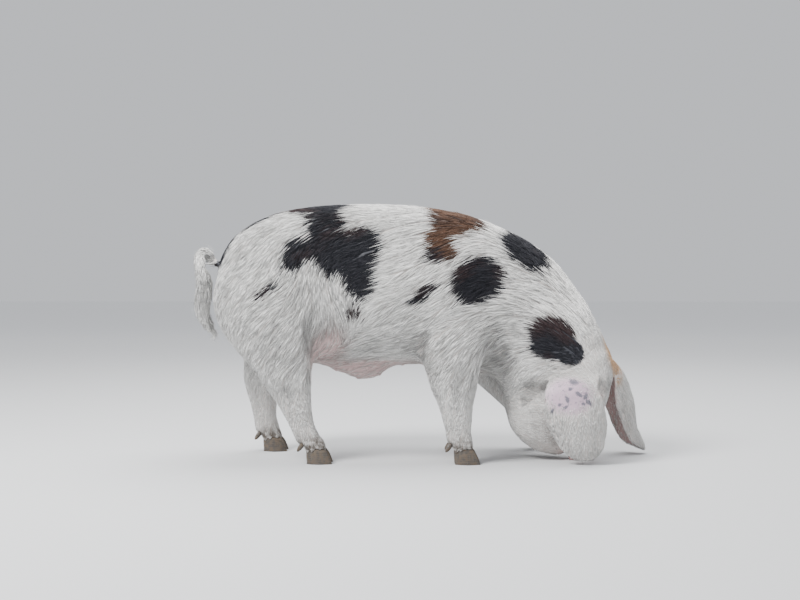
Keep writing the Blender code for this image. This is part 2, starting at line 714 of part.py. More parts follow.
def main():
    whole = flesh()
    eyes = eye_places(whole)
    name_parts(part_flesh(thinned(whole, FLESH_TRIANGLES), eyes))
    for foot in FEET:
        for word, side in (("right", -1), ("left", 1)):
            link(f"claw_{foot}_{word}", mesh_of(claw(foot, side), "claw"), HORN, 0.5)
            link(f"dewclaw_{foot}_{word}", mesh_of(dewclaw(foot, side), "dewclaw"), HORN, 0.5)
    for word, place in eyes.items():
        link(f"eye_{word}", mesh_of(ball(place, EYE_RADIUS), "eye"), EYE_BROWN, 0.1)
    for obj in PIG.objects:
        obj.data.transform(Matrix.Translation((-MIDDLE_X, 0, 0)))


for old in list(bpy.data.objects):
    bpy.data.objects.remove(old)
PIG = bpy.data.collections.new("pig")
CUTTERS = bpy.data.collections.new("cutters")
for group in (PIG, CUTTERS):
    bpy.context.scene.collection.children.link(group)
main()
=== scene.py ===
"""The looks of a life-size spotted lop-eared pig that roots: one skin, its coat, hooves and eyes.

Metres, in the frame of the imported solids: +X to the head, +Y to the pig's left, the floor at z = 0.
The solids of flesh reach about to the tips of the coat. The skin is grown from them and sinks by
the coat's depth, is sculpted with folds and lids, and then carries tufts of hair that lie along it.
At the right ear's lower front edge, the jaw and the jowl it swells past the solids by 12 to 21 mm,
and at the left ear's edge by 7 mm.
"""

import math

import bmesh
import bpy
import numpy as np
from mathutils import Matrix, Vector
from mathutils.bvhtree import BVHTree
from mathutils.kdtree import KDTree


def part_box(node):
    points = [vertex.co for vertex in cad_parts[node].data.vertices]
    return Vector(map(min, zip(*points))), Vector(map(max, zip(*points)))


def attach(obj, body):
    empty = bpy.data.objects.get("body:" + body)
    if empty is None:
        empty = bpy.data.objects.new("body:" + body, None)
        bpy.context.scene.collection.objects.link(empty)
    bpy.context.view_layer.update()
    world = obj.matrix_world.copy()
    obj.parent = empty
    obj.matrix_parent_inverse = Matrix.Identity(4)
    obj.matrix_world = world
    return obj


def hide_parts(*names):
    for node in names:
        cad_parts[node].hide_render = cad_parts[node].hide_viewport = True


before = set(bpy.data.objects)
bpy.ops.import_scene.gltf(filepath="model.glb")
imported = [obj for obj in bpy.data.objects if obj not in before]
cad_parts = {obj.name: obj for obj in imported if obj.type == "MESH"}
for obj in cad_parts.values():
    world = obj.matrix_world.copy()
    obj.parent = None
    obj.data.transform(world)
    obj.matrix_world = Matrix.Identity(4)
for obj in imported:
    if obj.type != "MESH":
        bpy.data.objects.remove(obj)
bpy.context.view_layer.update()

LEGS = ("fore_right", "fore_left", "hind_right", "hind_left")
FLESH = ["trunk", "neck", "head", "snout_disc", "ear_right", "ear_left", "tail"]
FLESH += ["forearm_right", "forearm_left", "shank_right", "shank_left"]
FLESH += [f"foot_{leg}" for leg in LEGS]

# ---------------------------------------------------------------- sizes
SWELL = 0.0010  # closes the thin cuts between the solids
SKIN_VOXEL = 0.0030
SKIN_TRIANGLES = 76000  # before the face is refined
FACET_PASSES = 34  # smoothing that takes away the solids' facets
SEAM_PASSES = 16  # blends the lie of one part's hair into the next
COVER_PASSES = 110  # blends what one part wears into the next
TUFTS = 148000
PIECE_TUFTS = 19000
PATCH = 0.003  # width of a tuft's patch on its colour map
FINE_CLUMPS = 0.20  # fine clumps of hair for each tuft
BROAD_CLUMPS = 0.008  # broad ones, which swing together
CLUMP_SLIM = 0.16  # a clump's width against its length
STRAYS = 0.03  # share of the hairs that stand out
ROOT_DEPTH = 0.0012  # how far a tuft's root is set into the skin
DEEP = 0.008  # a hollow this deep has the darkest painted shade in its hair
EAR_FREE = 0.45  # share by which the hair of the ears stands free of their skin
TAIL_TIP = 0.52  # below this height the tail's hair hangs free
UNWRAP_TRIANGLES = 12000

HEAD_TURN = math.radians(15)  # the face is turned to the pig's right
HEAD_SHIFT = -0.036  # and carried to that side
TURN_X = 0.4124  # x of the upright line that it turns about
EYE_RADIUS = 0.0115
EYE_SINK = 0.0062  # how far a ball lies behind the middle of its solid
EYE_OPENING = (0.0102, 0.0070)  # half length and half height between the lids
LID = 0.0009  # thickness of a lid's edge
LID_REACH = 0.024
LID_START = 0.0105  # from here the lids fade into the face
LID_FOLD = (0.5, 2.1, 0.25)  # share of the thickness, and place and width across the opening
BROW = (0.0026, 0.019, 0.007)  # height of the rim of bone, its distance and its width
SOCKET = 0.0034  # how far the skin between the lids lies inside the ball
IRIS = 0.62  # angles from the gaze, in radians
PUPIL = 0.27

# What each part of the flesh wears: share of the facet smoothing, depth of the coat,
# length of the hair, half width of a tuft, tufts a square metre against the trunk's, rise of the tips
COVER = {
    "trunk": (1.00, 0.0070, 0.056, 0.00112, 1.00, 0.0042),
    "neck": (1.00, 0.0070, 0.052, 0.00112, 1.05, 0.0042),
    "head": (0.15, 0.0034, 0.015, 0.00064, 2.30, 0.0018),
    "snout_disc": (0.12, 0.0002, 0.006, 0.00050, 0.00, 0.0005),
    "ear": (0.04, 0.0012, 0.022, 0.00072, 1.60, 0.0018),
    "tail": (0.08, 0.0015, 0.055, 0.00120, 3.60, 0.0100),
    "forearm": (0.60, 0.0034, 0.022, 0.00080, 1.80, 0.0017),
    "shank": (0.60, 0.0034, 0.022, 0.00080, 1.80, 0.0017),
    "foot": (0.20, 0.0018, 0.015, 0.00075, 2.00, 0.0014),
}

# The columns of what a place wears: the first five as above, then two that the skin adds
DEPTH, LENGTH, WIDE, DENSITY, RISE, FREE, HOLLOW = range(1, 8)

# What the coat loses on sparse places: shares of its number of tufts, their length and their rise
SPARSE = {
    "bare": (0.78, 0.45, 0.50),
    "ear_back": (0.65, 0.00, 0.00),
    "muzzle": (0.70, 0.40, 0.00),
    "snout": (1.00, 0.00, 0.00),
    "ear_inside": (0.70, 0.35, 0.00),
}
# What it keeps at the rim of an eye: shares of the tufts' length, width and rise
AT_EYE = {LENGTH: 0.28, WIDE: 0.45, RISE: 0.35}
# How tufts differ from what their place wears: the least and the greatest share
VARIES = {LENGTH: (0.70, 1.25), WIDE: (0.75, 1.25), RISE: (0.30, 1.20)}
# How broad clumps, fine clumps and single tufts differ: spread of their lie, in radians, and of their tone
SWING = (0.11, 0.03, 0.035)
TONES = (0.07, 0.12, 0.07)

# The lie of the coat on the right side: x, y, z, then the way the hair points. The left mirrors it.
LIE = {
    "trunk": [
        (-0.58, -0.10, 0.65, -0.50, 0, -0.87),
        (-0.49, -0.14, 0.69, -0.60, 0, -0.80),
        (-0.42, -0.14, 0.73, -0.80, 0, -0.60),
        (-0.52, -0.17, 0.57, -0.55, 0, -0.83),
        (-0.42, -0.19, 0.62, -0.45, 0, -0.90),
        (-0.60, -0.13, 0.50, -0.30, 0, -0.95),
        (-0.46, -0.20, 0.52, -0.84, 0, -0.55),
        (-0.49, -0.20, 0.41, -0.60, 0, -0.80),
        (-0.40, -0.20, 0.35, -0.50, 0, -0.87),
        (-0.40, -0.20, 0.47, -0.75, 0, -0.65),
        (-0.36, -0.19, 0.51, -0.35, 0, -0.95),  # the whorl of the flank
        (-0.31, -0.19, 0.57, 0.30, 0, -0.95),
        (-0.27, -0.19, 0.51, 0.70, 0, -0.70),
        (-0.24, -0.19, 0.45, 0.50, 0, -0.85),
        (-0.29, -0.19, 0.45, -0.40, 0, -0.90),
        (-0.20, -0.20, 0.62, -0.95, 0, -0.30),
        (-0.12, -0.20, 0.59, -1.00, 0, -0.15),
        (-0.15, -0.15, 0.72, -0.85, 0, -0.50),
        (-0.07, -0.18, 0.68, -0.87, 0, -0.45),
        (-0.07, -0.21, 0.50, -0.93, 0, -0.33),
        (-0.16, -0.20, 0.41, -0.95, 0, -0.20),
        (-0.01, -0.20, 0.56, -0.87, 0, -0.50),
        (0.02, -0.20, 0.44, -0.75, 0, -0.60),
        (-0.04, -0.19, 0.38, -0.95, 0, -0.30),
        (0.14, -0.17, 0.66, -0.87, 0, -0.50),
        (0.15, -0.18, 0.54, -0.80, 0, -0.55),
        (0.14, -0.19, 0.44, -0.90, 0, -0.35),
        (0.08, -0.19, 0.38, -0.75, 0, -0.65),
        (0.08, -0.18, 0.30, -0.35, 0, -0.94),
        (0.23, -0.17, 0.50, -0.80, 0, -0.55),
        (-0.62, -0.02, 0.68, -0.60, 0, -0.80),
        (-0.50, -0.03, 0.76, -1.00, 0, -0.35),
        (-0.30, -0.03, 0.80, -1.00, 0, -0.08),
        (-0.08, -0.03, 0.80, -1.00, 0, 0.00),
        (0.10, -0.03, 0.78, -1.00, 0, 0.15),
        (0.22, -0.03, 0.74, -0.95, 0, 0.30),
        (-0.10, -0.08, 0.29, -1.00, 0, 0.00),
        (-0.30, -0.05, 0.30, -1.00, 0, 0.00),
        (-0.43, -0.08, 0.30, -0.20, 0, -0.98),
        (0.10, -0.08, 0.27, -0.60, 0, -0.80),
    ],
    "neck": [
        (0.36, -0.06, 0.65, -0.75, 0, 0.65),
        (0.49, -0.08, 0.52, -0.55, 0, 0.83),
        (0.56, -0.10, 0.40, -0.35, 0, 0.93),
        (0.29, -0.16, 0.59, -0.95, 0, 0.10),
        (0.35, -0.16, 0.53, -0.90, 0, 0.40),
        (0.32, -0.17, 0.47, -0.93, 0, 0.25),
        (0.26, -0.18, 0.44, -0.95, 0, -0.15),
        (0.23, -0.18, 0.36, -0.85, 0, -0.50),
        (0.40, -0.18, 0.43, -0.75, 0, 0.60),
        (0.46, -0.18, 0.37, -0.50, 0, 0.85),
        (0.34, -0.18, 0.35, -0.75, 0, 0.10),
        (0.27, -0.17, 0.31, -0.50, 0, -0.80),
        (0.32, -0.15, 0.25, -0.35, 0, -0.90),
        (0.25, -0.05, 0.24, -0.90, 0, 0.20),
    ],
    "head": [
        (0.58, -0.04, 0.28, -0.05, 0, 1.00),
        (0.56, -0.05, 0.16, 0.02, 0, 1.00),
        (0.53, -0.06, 0.06, 0.00, 0, 1.00),
        (0.46, -0.13, 0.18, -0.35, 0, 0.90),
        (0.40, -0.13, 0.12, -0.80, 0, 0.55),
        (0.32, -0.14, 0.16, -0.85, 0, 0.15),
        (0.28, -0.10, 0.22, -0.80, 0, -0.30),
        (0.34, -0.15, 0.27, -0.60, 0, -0.60),
        (0.42, -0.05, 0.05, -0.90, 0, 0.40),
    ],
    "ear_right": [
        (0.49, -0.14, 0.28, 0.00, -0.60, -0.60),
        (0.38, -0.21, 0.22, -0.30, 0, -0.95),
        (0.55, -0.21, 0.22, 0.22, 0, -0.97),
        (0.46, -0.21, 0.20, 0.00, 0, -1.00),
        (0.39, -0.21, 0.12, 0.15, 0, -1.00),
        (0.54, -0.21, 0.12, -0.05, 0, -1.00),
        (0.47, -0.20, 0.05, 0.10, 0, -1.00),
    ],
    "ear_left": [
        (0.59, 0.04, 0.30, 0.85, 0, -0.40),
        (0.65, 0.00, 0.24, 0.30, 0, -0.95),
        (0.68, 0.13, 0.18, 0.10, 0, -1.00),
        (0.68, 0.06, 0.12, 0.15, 0, -1.00),
        (0.70, 0.06, 0.05, 0.25, 0, -0.97),
    ],
    "tail": [
        (-0.66, 0.02, 0.62, -0.70, 0, 0.70),
        (-0.68, 0.02, 0.65, -0.95, 0, 0.25),
        (-0.70, 0.00, 0.63, -0.10, 0, -1.00),
        (-0.68, -0.02, 0.56, 0.10, 0, -1.00),
        (-0.69, -0.02, 0.48, 0.00, 0, -1.00),
        (-0.66, -0.01, 0.40, 0.45, 0, -0.90),
    ],
    "leg": [
        (0.10, -0.15, 0.20, -0.10, 0, -1.00),
        (-0.40, -0.13, 0.20, -0.05, 0, -1.00),
        (-0.50, -0.13, 0.05, 0.05, 0, -1.00),
    ],
}

# The markings as ellipsoids: centre, radii and the turn about Y in degrees, up at the head's end
MARKS = {
    "black": [
        ((-0.330, 0.045, 0.796), (0.125, 0.185, 0.060), 0),  # over the loin
        ((-0.300, -0.120, 0.742), (0.062, 0.110, 0.060), -25),
        ((-0.233, -0.200, 0.640), (0.104, 0.140, 0.078), 0),
        ((-0.185, -0.185, 0.672), (0.064, 0.110, 0.050), 0),
        ((-0.196, -0.200, 0.566), (0.048, 0.110, 0.070), 12),
        ((-0.392, -0.190, 0.636), (0.036, 0.110, 0.056), -15),
        ((-0.325, -0.190, 0.665), (0.074, 0.110, 0.044), 24),
        ((-0.212, -0.200, 0.465), (0.030, 0.110, 0.012), 10),
        ((-0.475, -0.200, 0.528), (0.048, 0.110, 0.013), 39),  # ham
        ((-0.520, 0.064, 0.750), (0.130, 0.130, 0.066), 36),  # rump
        ((-0.615, 0.070, 0.640), (0.086, 0.148, 0.125), 20),
        ((0.030, -0.180, 0.632), (0.026, 0.080, 0.030), 50),  # under the withers
        ((0.320, -0.085, 0.648), (0.088, 0.120, 0.060), -36),  # crest
        ((0.168, -0.200, 0.560), (0.092, 0.120, 0.072), 25),  # shoulder
        ((-0.002, -0.200, 0.520), (0.054, 0.110, 0.019), 43),
        ((0.388, -0.190, 0.384), (0.077, 0.120, 0.072), 0),  # neck
        ((0.442, -0.190, 0.341), (0.048, 0.120, 0.042), -15),
        ((-0.100, 0.210, 0.600), (0.120, 0.120, 0.085), -15),  # left side
        ((-0.020, 0.210, 0.520), (0.070, 0.110, 0.050), 20),
        ((-0.470, 0.200, 0.470), (0.075, 0.110, 0.060), 30),
        ((0.180, 0.200, 0.420), (0.075, 0.110, 0.060), 10),
        ((0.400, 0.150, 0.470), (0.075, 0.110, 0.052), -40),
    ],
    "brown": [
        ((0.085, -0.020, 0.740), (0.076, 0.190, 0.078), -10),  # withers
        ((0.052, -0.165, 0.662), (0.040, 0.100, 0.058), 35),
        ((0.150, -0.060, 0.738), (0.050, 0.120, 0.034), -20),
    ],
    "painted_rim_light": [
        ((0.602, -0.066, 0.316), (0.046, 0.085, 0.075), 25),  # poll: painted rim light, where backlight warms the hair at the outline
        ((0.612, 0.006, 0.270), (0.040, 0.045, 0.046), 0),
        ((0.590, 0.040, 0.300), (0.050, 0.040, 0.040), 0),
    ],
    "white": [
        ((-0.702, 0.000, 0.555), (0.042, 0.055, 0.150), 0),  # tail
        ((-0.692, 0.010, 0.640), (0.042, 0.036, 0.040), 0),
    ],
    "pink": [((0.428, -0.230, 0.222), (0.084, 0.070, 0.070), -8)],  # back of the right ear
    "freckle": [
        ((0.449, -0.205, 0.252), (0.016, 0.040, 0.010), -8),
        ((0.436, -0.215, 0.231), (0.006, 0.040, 0.006), 0),
        ((0.461, -0.215, 0.214), (0.012, 0.040, 0.006), -35),
        ((0.478, -0.215, 0.209), (0.006, 0.040, 0.012), -20),
        ((0.489, -0.215, 0.192), (0.014, 0.040, 0.006), -40),
        ((0.474, -0.215, 0.186), (0.006, 0.040, 0.005), 0),
        ((0.426, -0.215, 0.199), (0.006, 0.040, 0.011), 10),
        ((0.421, -0.215, 0.176), (0.009, 0.040, 0.005), 30),
        ((0.381, -0.215, 0.166), (0.006, 0.040, 0.010), -25),
        ((0.404, -0.215, 0.184), (0.005, 0.040, 0.005), 0),
    ],
    "bare": [
        ((-0.290, -0.110, 0.350), (0.060, 0.110, 0.090), -30),  # pocket of the flank
        ((-0.290, 0.110, 0.350), (0.060, 0.110, 0.090), -30),
        ((-0.150, 0.000, 0.270), (0.240, 0.170, 0.062), 0),  # udder and belly
        ((-0.400, 0.000, 0.340), (0.130, 0.085, 0.140), 0),  # between the hams
        ((0.080, 0.000, 0.290), (0.120, 0.090, 0.090), 0),  # between the forelegs
    ],
    "snout": [((0.493, -0.058, 0.000), (0.075, 0.075, 0.024), 0)],
    "muzzle": [((0.500, -0.070, 0.000), (0.085, 0.085, 0.066), 0)],
    "lids": [
        ((0.531, -0.138, 0.195), (0.017, 0.017, 0.020), 0),
        ((0.566, -0.007, 0.195), (0.017, 0.017, 0.020), 0),
    ],
    "mud": [
        ((0.130, -0.150, 0.000), (0.110, 0.110, 0.086), 0),  # the four feet
        ((0.404, 0.177, 0.000), (0.110, 0.110, 0.080), 0),
        ((-0.320, -0.138, 0.000), (0.110, 0.110, 0.090), 0),
        ((-0.482, 0.142, 0.000), (0.110, 0.110, 0.082), 0),
        ((0.493, -0.058, -0.006), (0.060, 0.060, 0.014), 0),  # the snout
    ],
}

SOFT_MARKS = ("painted_rim_light", "pink", "bare", "muzzle", "lids", "mud", "freckle")
FRECKLE = (0.105, 0.110, 0.140, 1)

# Folds as grooves: width, depth, how far its lips rise, then points of a line near the skin
BODY_FOLDS = [
    (
        0.014, 0.006, 0.002,
        (0.225, -0.17, 0.46), (0.228, -0.17, 0.40), (0.245, -0.16, 0.34), (0.275, -0.13, 0.28),
    ),
    (
        0.016, 0.008, 0.003,
        (-0.335, -0.20, 0.47), (-0.345, -0.18, 0.41), (-0.335, -0.16, 0.35), (-0.330, -0.13, 0.31),
    ),
    (0.014, 0.006, 0.003, (0.020, -0.19, 0.42), (0.005, -0.18, 0.37), (0.015, -0.15, 0.32)),
    (0.012, 0.007, 0.003, (-0.685, 0.00, 0.60), (-0.685, 0.00, 0.52), (-0.660, 0.00, 0.44)),
]
HEAD_FOLDS = [
    (
        0.006, 0.005, 0.003,
        (0.35, -0.18, 0.298), (0.41, -0.18, 0.289), (0.455, -0.17, 0.297), (0.485, -0.15, 0.283),
    ),
    (
        0.010, 0.009, 0.004,
        (0.27, -0.15, 0.198), (0.304, -0.16, 0.190), (0.331, -0.17, 0.194), (0.365, -0.17, 0.204),
    ),
    (
        0.004, 0.0065, 0.0022,
        (0.455, -0.09, 0.012), (0.443, -0.11, 0.045), (0.434, -0.13, 0.085), (0.412, -0.15, 0.112),
    ),
    (0.0075, 0.0036, 0.0018, (0.566, -0.10, 0.245), (0.558, -0.12, 0.225), (0.536, -0.15, 0.220)),
    (0.0045, 0.0036, 0.0018, (0.524, -0.16, 0.160), (0.510, -0.16, 0.180), (0.506, -0.17, 0.210)),
    (0.0060, 0.0030, 0.0015, (0.560, -0.10, 0.155), (0.550, -0.12, 0.140), (0.532, -0.13, 0.128)),
]
DENTS = [  # broad hollows and, where the depth is negative, swellings: place, radius, depth
    ((0.322, -0.170, 0.216), 0.029, 0.013),  # behind the ear
    ((0.305, -0.100, 0.080), 0.060, -0.012),  # jowl
    ((0.366, -0.095, 0.042), 0.056, -0.016),  # jaw
    ((0.330, -0.170, 0.150), 0.050, -0.004),  # cheek
    ((0.590, -0.060, 0.225), 0.034, 0.004),  # between the eyes
    ((0.250, -0.150, 0.300), 0.040, 0.006),  # throat
    ((0.010, -0.180, 0.340), 0.045, 0.006),  # behind the elbow
    ((-0.300, -0.180, 0.400), 0.050, 0.007),  # flank
    ((-0.230, -0.190, 0.740), 0.070, 0.004),  # loin
    ((0.075, -0.190, 0.480), 0.070, -0.004),  # shoulder
    ((-0.420, -0.190, 0.520), 0.090, -0.004),  # thigh
    ((-0.420, -0.150, 0.230), 0.030, 0.004),  # before the hock
]
SNOUT_RINGS = (0.030, 0.043, 0.058, 0.076, 0.098)  # heights of the wrinkles over the snout
# How far the ears widen: height, metres at the right ear's front edge, share of the left ear's width
EAR_WIDENING = [
    (0.000, 0.014, 0.18),
    (0.025, 0.024, 0.18),
    (0.055, 0.026, 0.15),
    (0.085, 0.018, 0.11),
    (0.120, 0.009, 0.08),
    (0.170, 0.004, 0.08),
    (0.240, 0.000, 0.00),
]
RING_MIDDLE = (0.492, -0.058)
RIM_MIDDLE = (0.493, -0.058, 0.0150)  # of the groove behind the snout's disc
SNOUT_RADIUS = 0.046
NOSTRILS = (-0.018, 0.018)  # each side of the disc's middle
NOSTRIL_RADIUS = 0.0085
NOSTRIL_DEPTH = 0.012
TEATS = (-0.275, -0.205, -0.135, -0.065, 0.005, 0.075)  # x of the teats of each side
TEAT_SIDES = (-0.045, 0.045)
TEAT_SIZE = (0.0052, 0.0055)  # height and radius
TEAT_MOUND = (0.0016, 0.020)  # the same of the mound that it stands on


# ---------------------------------------------------------------- arrays and meshes
def read(items, what, width, kind=np.float32):
    values = np.empty(len(items) * width, kind)
    items.foreach_get(what, values)
    return values.reshape(-1, width).astype(float if kind == np.float32 else int)


def points_of(mesh):
    return read(mesh.vertices, "co", 3)


def surface_of(mesh):
    """The points of a mesh and the normals there."""
    return points_of(mesh), read(mesh.vertices, "normal", 3)


def place(mesh, points):
    mesh.vertices.foreach_set("co", points.astype(np.float32).ravel())
    mesh.update()


def note(mesh, name, values, kind="FLOAT"):
    """Stores values at the vertices as an attribute."""
    attribute = mesh.attributes.get(name) or mesh.attributes.new(name, kind, "POINT")
    what = "vector" if kind == "FLOAT_VECTOR" else "value"
    attribute.data.foreach_set(what, values.astype(np.float32).ravel())


def noted(mesh, name):
    return read(mesh.attributes[name].data, "value", 1)[:, 0]


def unit(vectors):
    return vectors / np.maximum(np.linalg.norm(vectors, axis=-1, keepdims=True), 1e-12)


def smooth_step(values):
    t = np.clip(values, 0.0, 1.0)
    return t * t * (3 - 2 * t)


def spread(values, edges, passes, share=1.0):
    """Averages values with those of the neighbouring vertices, by a share at each vertex."""
    ends = np.concatenate([edges, edges[:, ::-1]])
    degree = np.maximum(np.bincount(ends[:, 0], minlength=len(values)), 1)[:, None]
    for _ in range(passes):
        near = [np.bincount(ends[:, 0], column[ends[:, 1]], len(values)) for column in values.T]
        values = values + 0.5 * share * (np.stack(near, 1) / degree - values)
    return values


def link(name, mesh):
    obj = bpy.data.objects.new(name, mesh)
    bpy.context.scene.collection.objects.link(obj)
    return obj


def evaluated_mesh(obj):
    """The object's mesh with its modifiers applied. The object goes."""
    graph = bpy.context.evaluated_depsgraph_get()
    mesh = bpy.data.meshes.new_from_object(obj.evaluated_get(graph), depsgraph=graph)
    bpy.data.objects.remove(obj)
    return mesh


def mesh_of(bm, name):
    mesh = bpy.data.meshes.new(name)
    bm.to_mesh(mesh)
    bm.free()
    return mesh


def cad_copy(names):
    """A bmesh of copies of the named solids, their loose triangles merged."""
    bm = bmesh.new()
    for name in names:
        bm.from_mesh(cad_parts[name].data)
    bmesh.ops.remove_doubles(bm, verts=bm.verts, dist=0.00001)
    bm.normal_update()
    return bm


def middle(node):
    low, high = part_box(node)
    return (low + high) / 2


def turned(direction):
    """A direction of the head before it is turned to the pig's right."""
    x, y, z = direction
    c, s = math.cos(HEAD_TURN), math.sin(HEAD_TURN)
    return Vector((x * c + y * s, y * c - x * s, z)).normalized()


def across_head(point):
    """The point on the other side of the turned head."""
    start = Vector((TURN_X, HEAD_SHIFT, 0))
    side = turned((0, 1, 0))
    offset = Vector(point) - start
    return start + offset - 2 * offset.dot(side) * side


def frame_of_eye(word):
    """The middle of an eye, the way it looks, and the long and short ways of its opening."""
    look = turned((0.42, 1.0 if word == "left" else -1.0, 0.12))
    centre = middle(f"eye_{word}") - look * EYE_SINK
    along = centre - middle("snout_disc")
    along = (along - look * along.dot(look)).normalized()
    across = look.cross(along)
    if across.x < 0:
        across = -across
    return [np.array(v) for v in (centre, look, along, across)]


# ---------------------------------------------------------------- the skin
class Flesh:
    """Finds the solid of flesh that lies nearest to a point."""

    def __init__(self):
        self.owner = []
        corners, faces = [], []
        for index, name in enumerate(FLESH):
            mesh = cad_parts[name].data
            start = len(corners)
            corners += [v.co.copy() for v in mesh.vertices]
            faces += [[start + i for i in p.vertices] for p in mesh.polygons]
            self.owner += [index] * len(mesh.polygons)
        self.tree = BVHTree.FromPolygons(corners, faces)

    def parts_at(self, points):
        return np.array([self.owner[self.tree.find_nearest(Vector(p))[2]] for p in points])


def row_of(name):
    """The name of the row of COVER that a part wears."""
    return name if name in COVER else name.split("_")[0]


def cover_at(points, edges, flesh, passes, columns=6):
    parts = flesh.parts_at(points)
    values = np.array([COVER[row_of(name)][:columns] for name in FLESH])[parts]
    return spread(values, edges, passes), parts


def rough_skin():
    """One closed surface round all the flesh and the eyes."""
    bm = cad_copy(FLESH + ["eye_right", "eye_left"])
    for vertex in bm.verts:
        vertex.co += vertex.normal * SWELL
    obj = link("rough_skin", mesh_of(bm, "rough_skin"))
    remesh = obj.modifiers.new("close", "REMESH")
    remesh.mode = "VOXEL"
    remesh.voxel_size = SKIN_VOXEL
    return evaluated_mesh(obj)


def sink(mesh, flesh):
    """Smooths the facets away and sinks the surface by the coat's depth."""
    points, edges = points_of(mesh), read(mesh.edges, "vertices", 2, np.int32)
    cover, _ = cover_at(points, edges, flesh, COVER_PASSES, 2)
    place(mesh, spread(points, edges, FACET_PASSES, cover[:, :1]))
    points, normals = surface_of(mesh)
    points -= normals * (cover[:, DEPTH, None] + SWELL)
    points[:, 2] = np.maximum(points[:, 2], 0.0008)
    place(mesh, points)


def thin(mesh):
    """Fewer triangles, above all where the surface is plain."""
    obj = link("thin", mesh)
    fewer = obj.modifiers.new("fewer", "DECIMATE")
    fewer.ratio = SKIN_TRIANGLES / (2 * len(mesh.polygons))
    fewer.use_collapse_triangulate = True
    return evaluated_mesh(obj)


def refine(mesh, centre, reach):
    """Halves the edges round a point."""
    centre = Vector(centre)
    bm = bmesh.new()
    bm.from_mesh(mesh)
    near = [e for e in bm.edges if ((e.verts[0].co + e.verts[1].co) / 2 - centre).length < reach]
    bmesh.ops.subdivide_edges(bm, edges=near, cuts=1, use_grid_fill=True)
    bmesh.ops.triangulate(bm, faces=[f for f in bm.faces if len(f.verts) > 3])
    bm.to_mesh(mesh)
    bm.free()


def grooves():
    """Every fold as its width, depth, lip and the points of its line, on both sides."""
    found = []
    for width, depth, lip, *line in BODY_FOLDS:
        found.append((width, depth, lip, line))
        found.append((width, depth, lip, [(x, -y, z) for x, y, z in line]))
    for width, depth, lip, *line in HEAD_FOLDS:
        found.append((width, depth, lip, line))
        found.append((width, depth, lip, [across_head(point) for point in line]))
    for height in SNOUT_RINGS:
        start = Vector((*RING_MIDDLE, height))
        turns = [math.radians(angle) for angle in range(-75, 76, 15)]
        ring = [start + SNOUT_RADIUS * turned((math.cos(turn), math.sin(turn), 0)) for turn in turns]
        found.append((0.0036, 0.0028, 0.0014, ring))
    turns = [math.radians(angle) for angle in range(0, 481, 20)]
    x, y, z = RIM_MIDDLE
    rim = [(x + SNOUT_RADIUS * math.cos(turn), y + SNOUT_RADIUS * math.sin(turn), z) for turn in turns]
    found.append((0.0022, 0.0024, 0.0006, rim))
    return found


def fold(points, line, width, depth, lip):
    """How far each point sinks for one groove that fades out at its ends."""
    lengths = [np.linalg.norm(b - a) for a, b in zip(line, line[1:])]
    whole, done = sum(lengths), 0.0
    nearest, share = np.full(len(points), 9.0), np.zeros(len(points))
    for a, b, length in zip(line, line[1:], lengths):
        t = np.clip((points - a) @ (b - a) / length**2, 0, 1)
        away = np.linalg.norm(points - a - t[:, None] * (b - a), axis=1)
        closer = away < nearest
        nearest[closer] = away[closer]
        share[closer] = (done + t[closer] * length) / whole
        done += length
    fade = smooth_step(share / 0.2) * smooth_step((1 - share) / 0.2)
    groove = depth * np.exp(-((nearest / width) ** 2))
    return fade * (groove - lip * np.exp(-(((nearest - 1.9 * width) / width) ** 2)))


def tree_of(mesh):
    corners = points_of(mesh).tolist()
    return BVHTree.FromPolygons(corners, [list(p.vertices) for p in mesh.polygons])


def carve(mesh, sunk):
    """Sinks the surface along its normals and notes how deep each vertex lies in a hollow."""
    points, normals = surface_of(mesh)
    place(mesh, points - normals * sunk[:, None])
    before = noted(mesh, "hollow") if "hollow" in mesh.attributes else 0.0
    note(mesh, "hollow", before + np.maximum(sunk, 0))


def crease(mesh):
    """Cuts the folds of face, throat and flanks."""
    tree = tree_of(mesh)
    for width, depth, lip, line in grooves():
        line = [np.array(tree.find_nearest(Vector(point))[0]) for point in line]
        carve(mesh, fold(points_of(mesh), line, width, depth, lip))


def dent(mesh):
    """Presses the broad hollows in and raises the swellings, on both sides."""
    tree = tree_of(mesh)
    for spot, radius, depth in DENTS:
        other = across_head(spot) if spot[0] > 0.3 else (spot[0], -spot[1], spot[2])
        for centre in (spot, other):
            near, normal = tree.find_nearest(Vector(centre))[:2]
            points, normals = surface_of(mesh)
            away = np.linalg.norm(points - np.array(near), axis=1)
            facing = smooth_step((normals @ np.array(normal) + 0.2) / 0.4)
            carve(mesh, depth * np.exp(-((away / radius) ** 2)) * facing)


def widen_ears(mesh, flesh):
    """Widens the ears. Low down, the edges go past their solids."""
    points = points_of(mesh)
    parts = flesh.parts_at(points)
    heights, near_edge, far_edge = np.array(EAR_WIDENING).T
    right = (parts == FLESH.index("ear_right")) * smooth_step((points[:, 0] - 0.445) / 0.06)
    left = (parts == FLESH.index("ear_left")) * (points[:, 1] - 0.068)
    points[:, 0] += right * np.interp(points[:, 2], heights, near_edge)
    points[:, 1] += left * np.interp(points[:, 2], heights, far_edge)
    place(mesh, points)


def note_ear_insides(mesh, flesh):
    """Notes how far each vertex lies on the inner side of an ear."""
    points, normals = surface_of(mesh)
    ears = np.isin(flesh.parts_at(points), [FLESH.index("ear_right"), FLESH.index("ear_left")])
    inward = (unit(np.array(middle("head")) - points) * normals).sum(axis=1)
    note(mesh, "inner", ears * smooth_step(inward / 0.35))


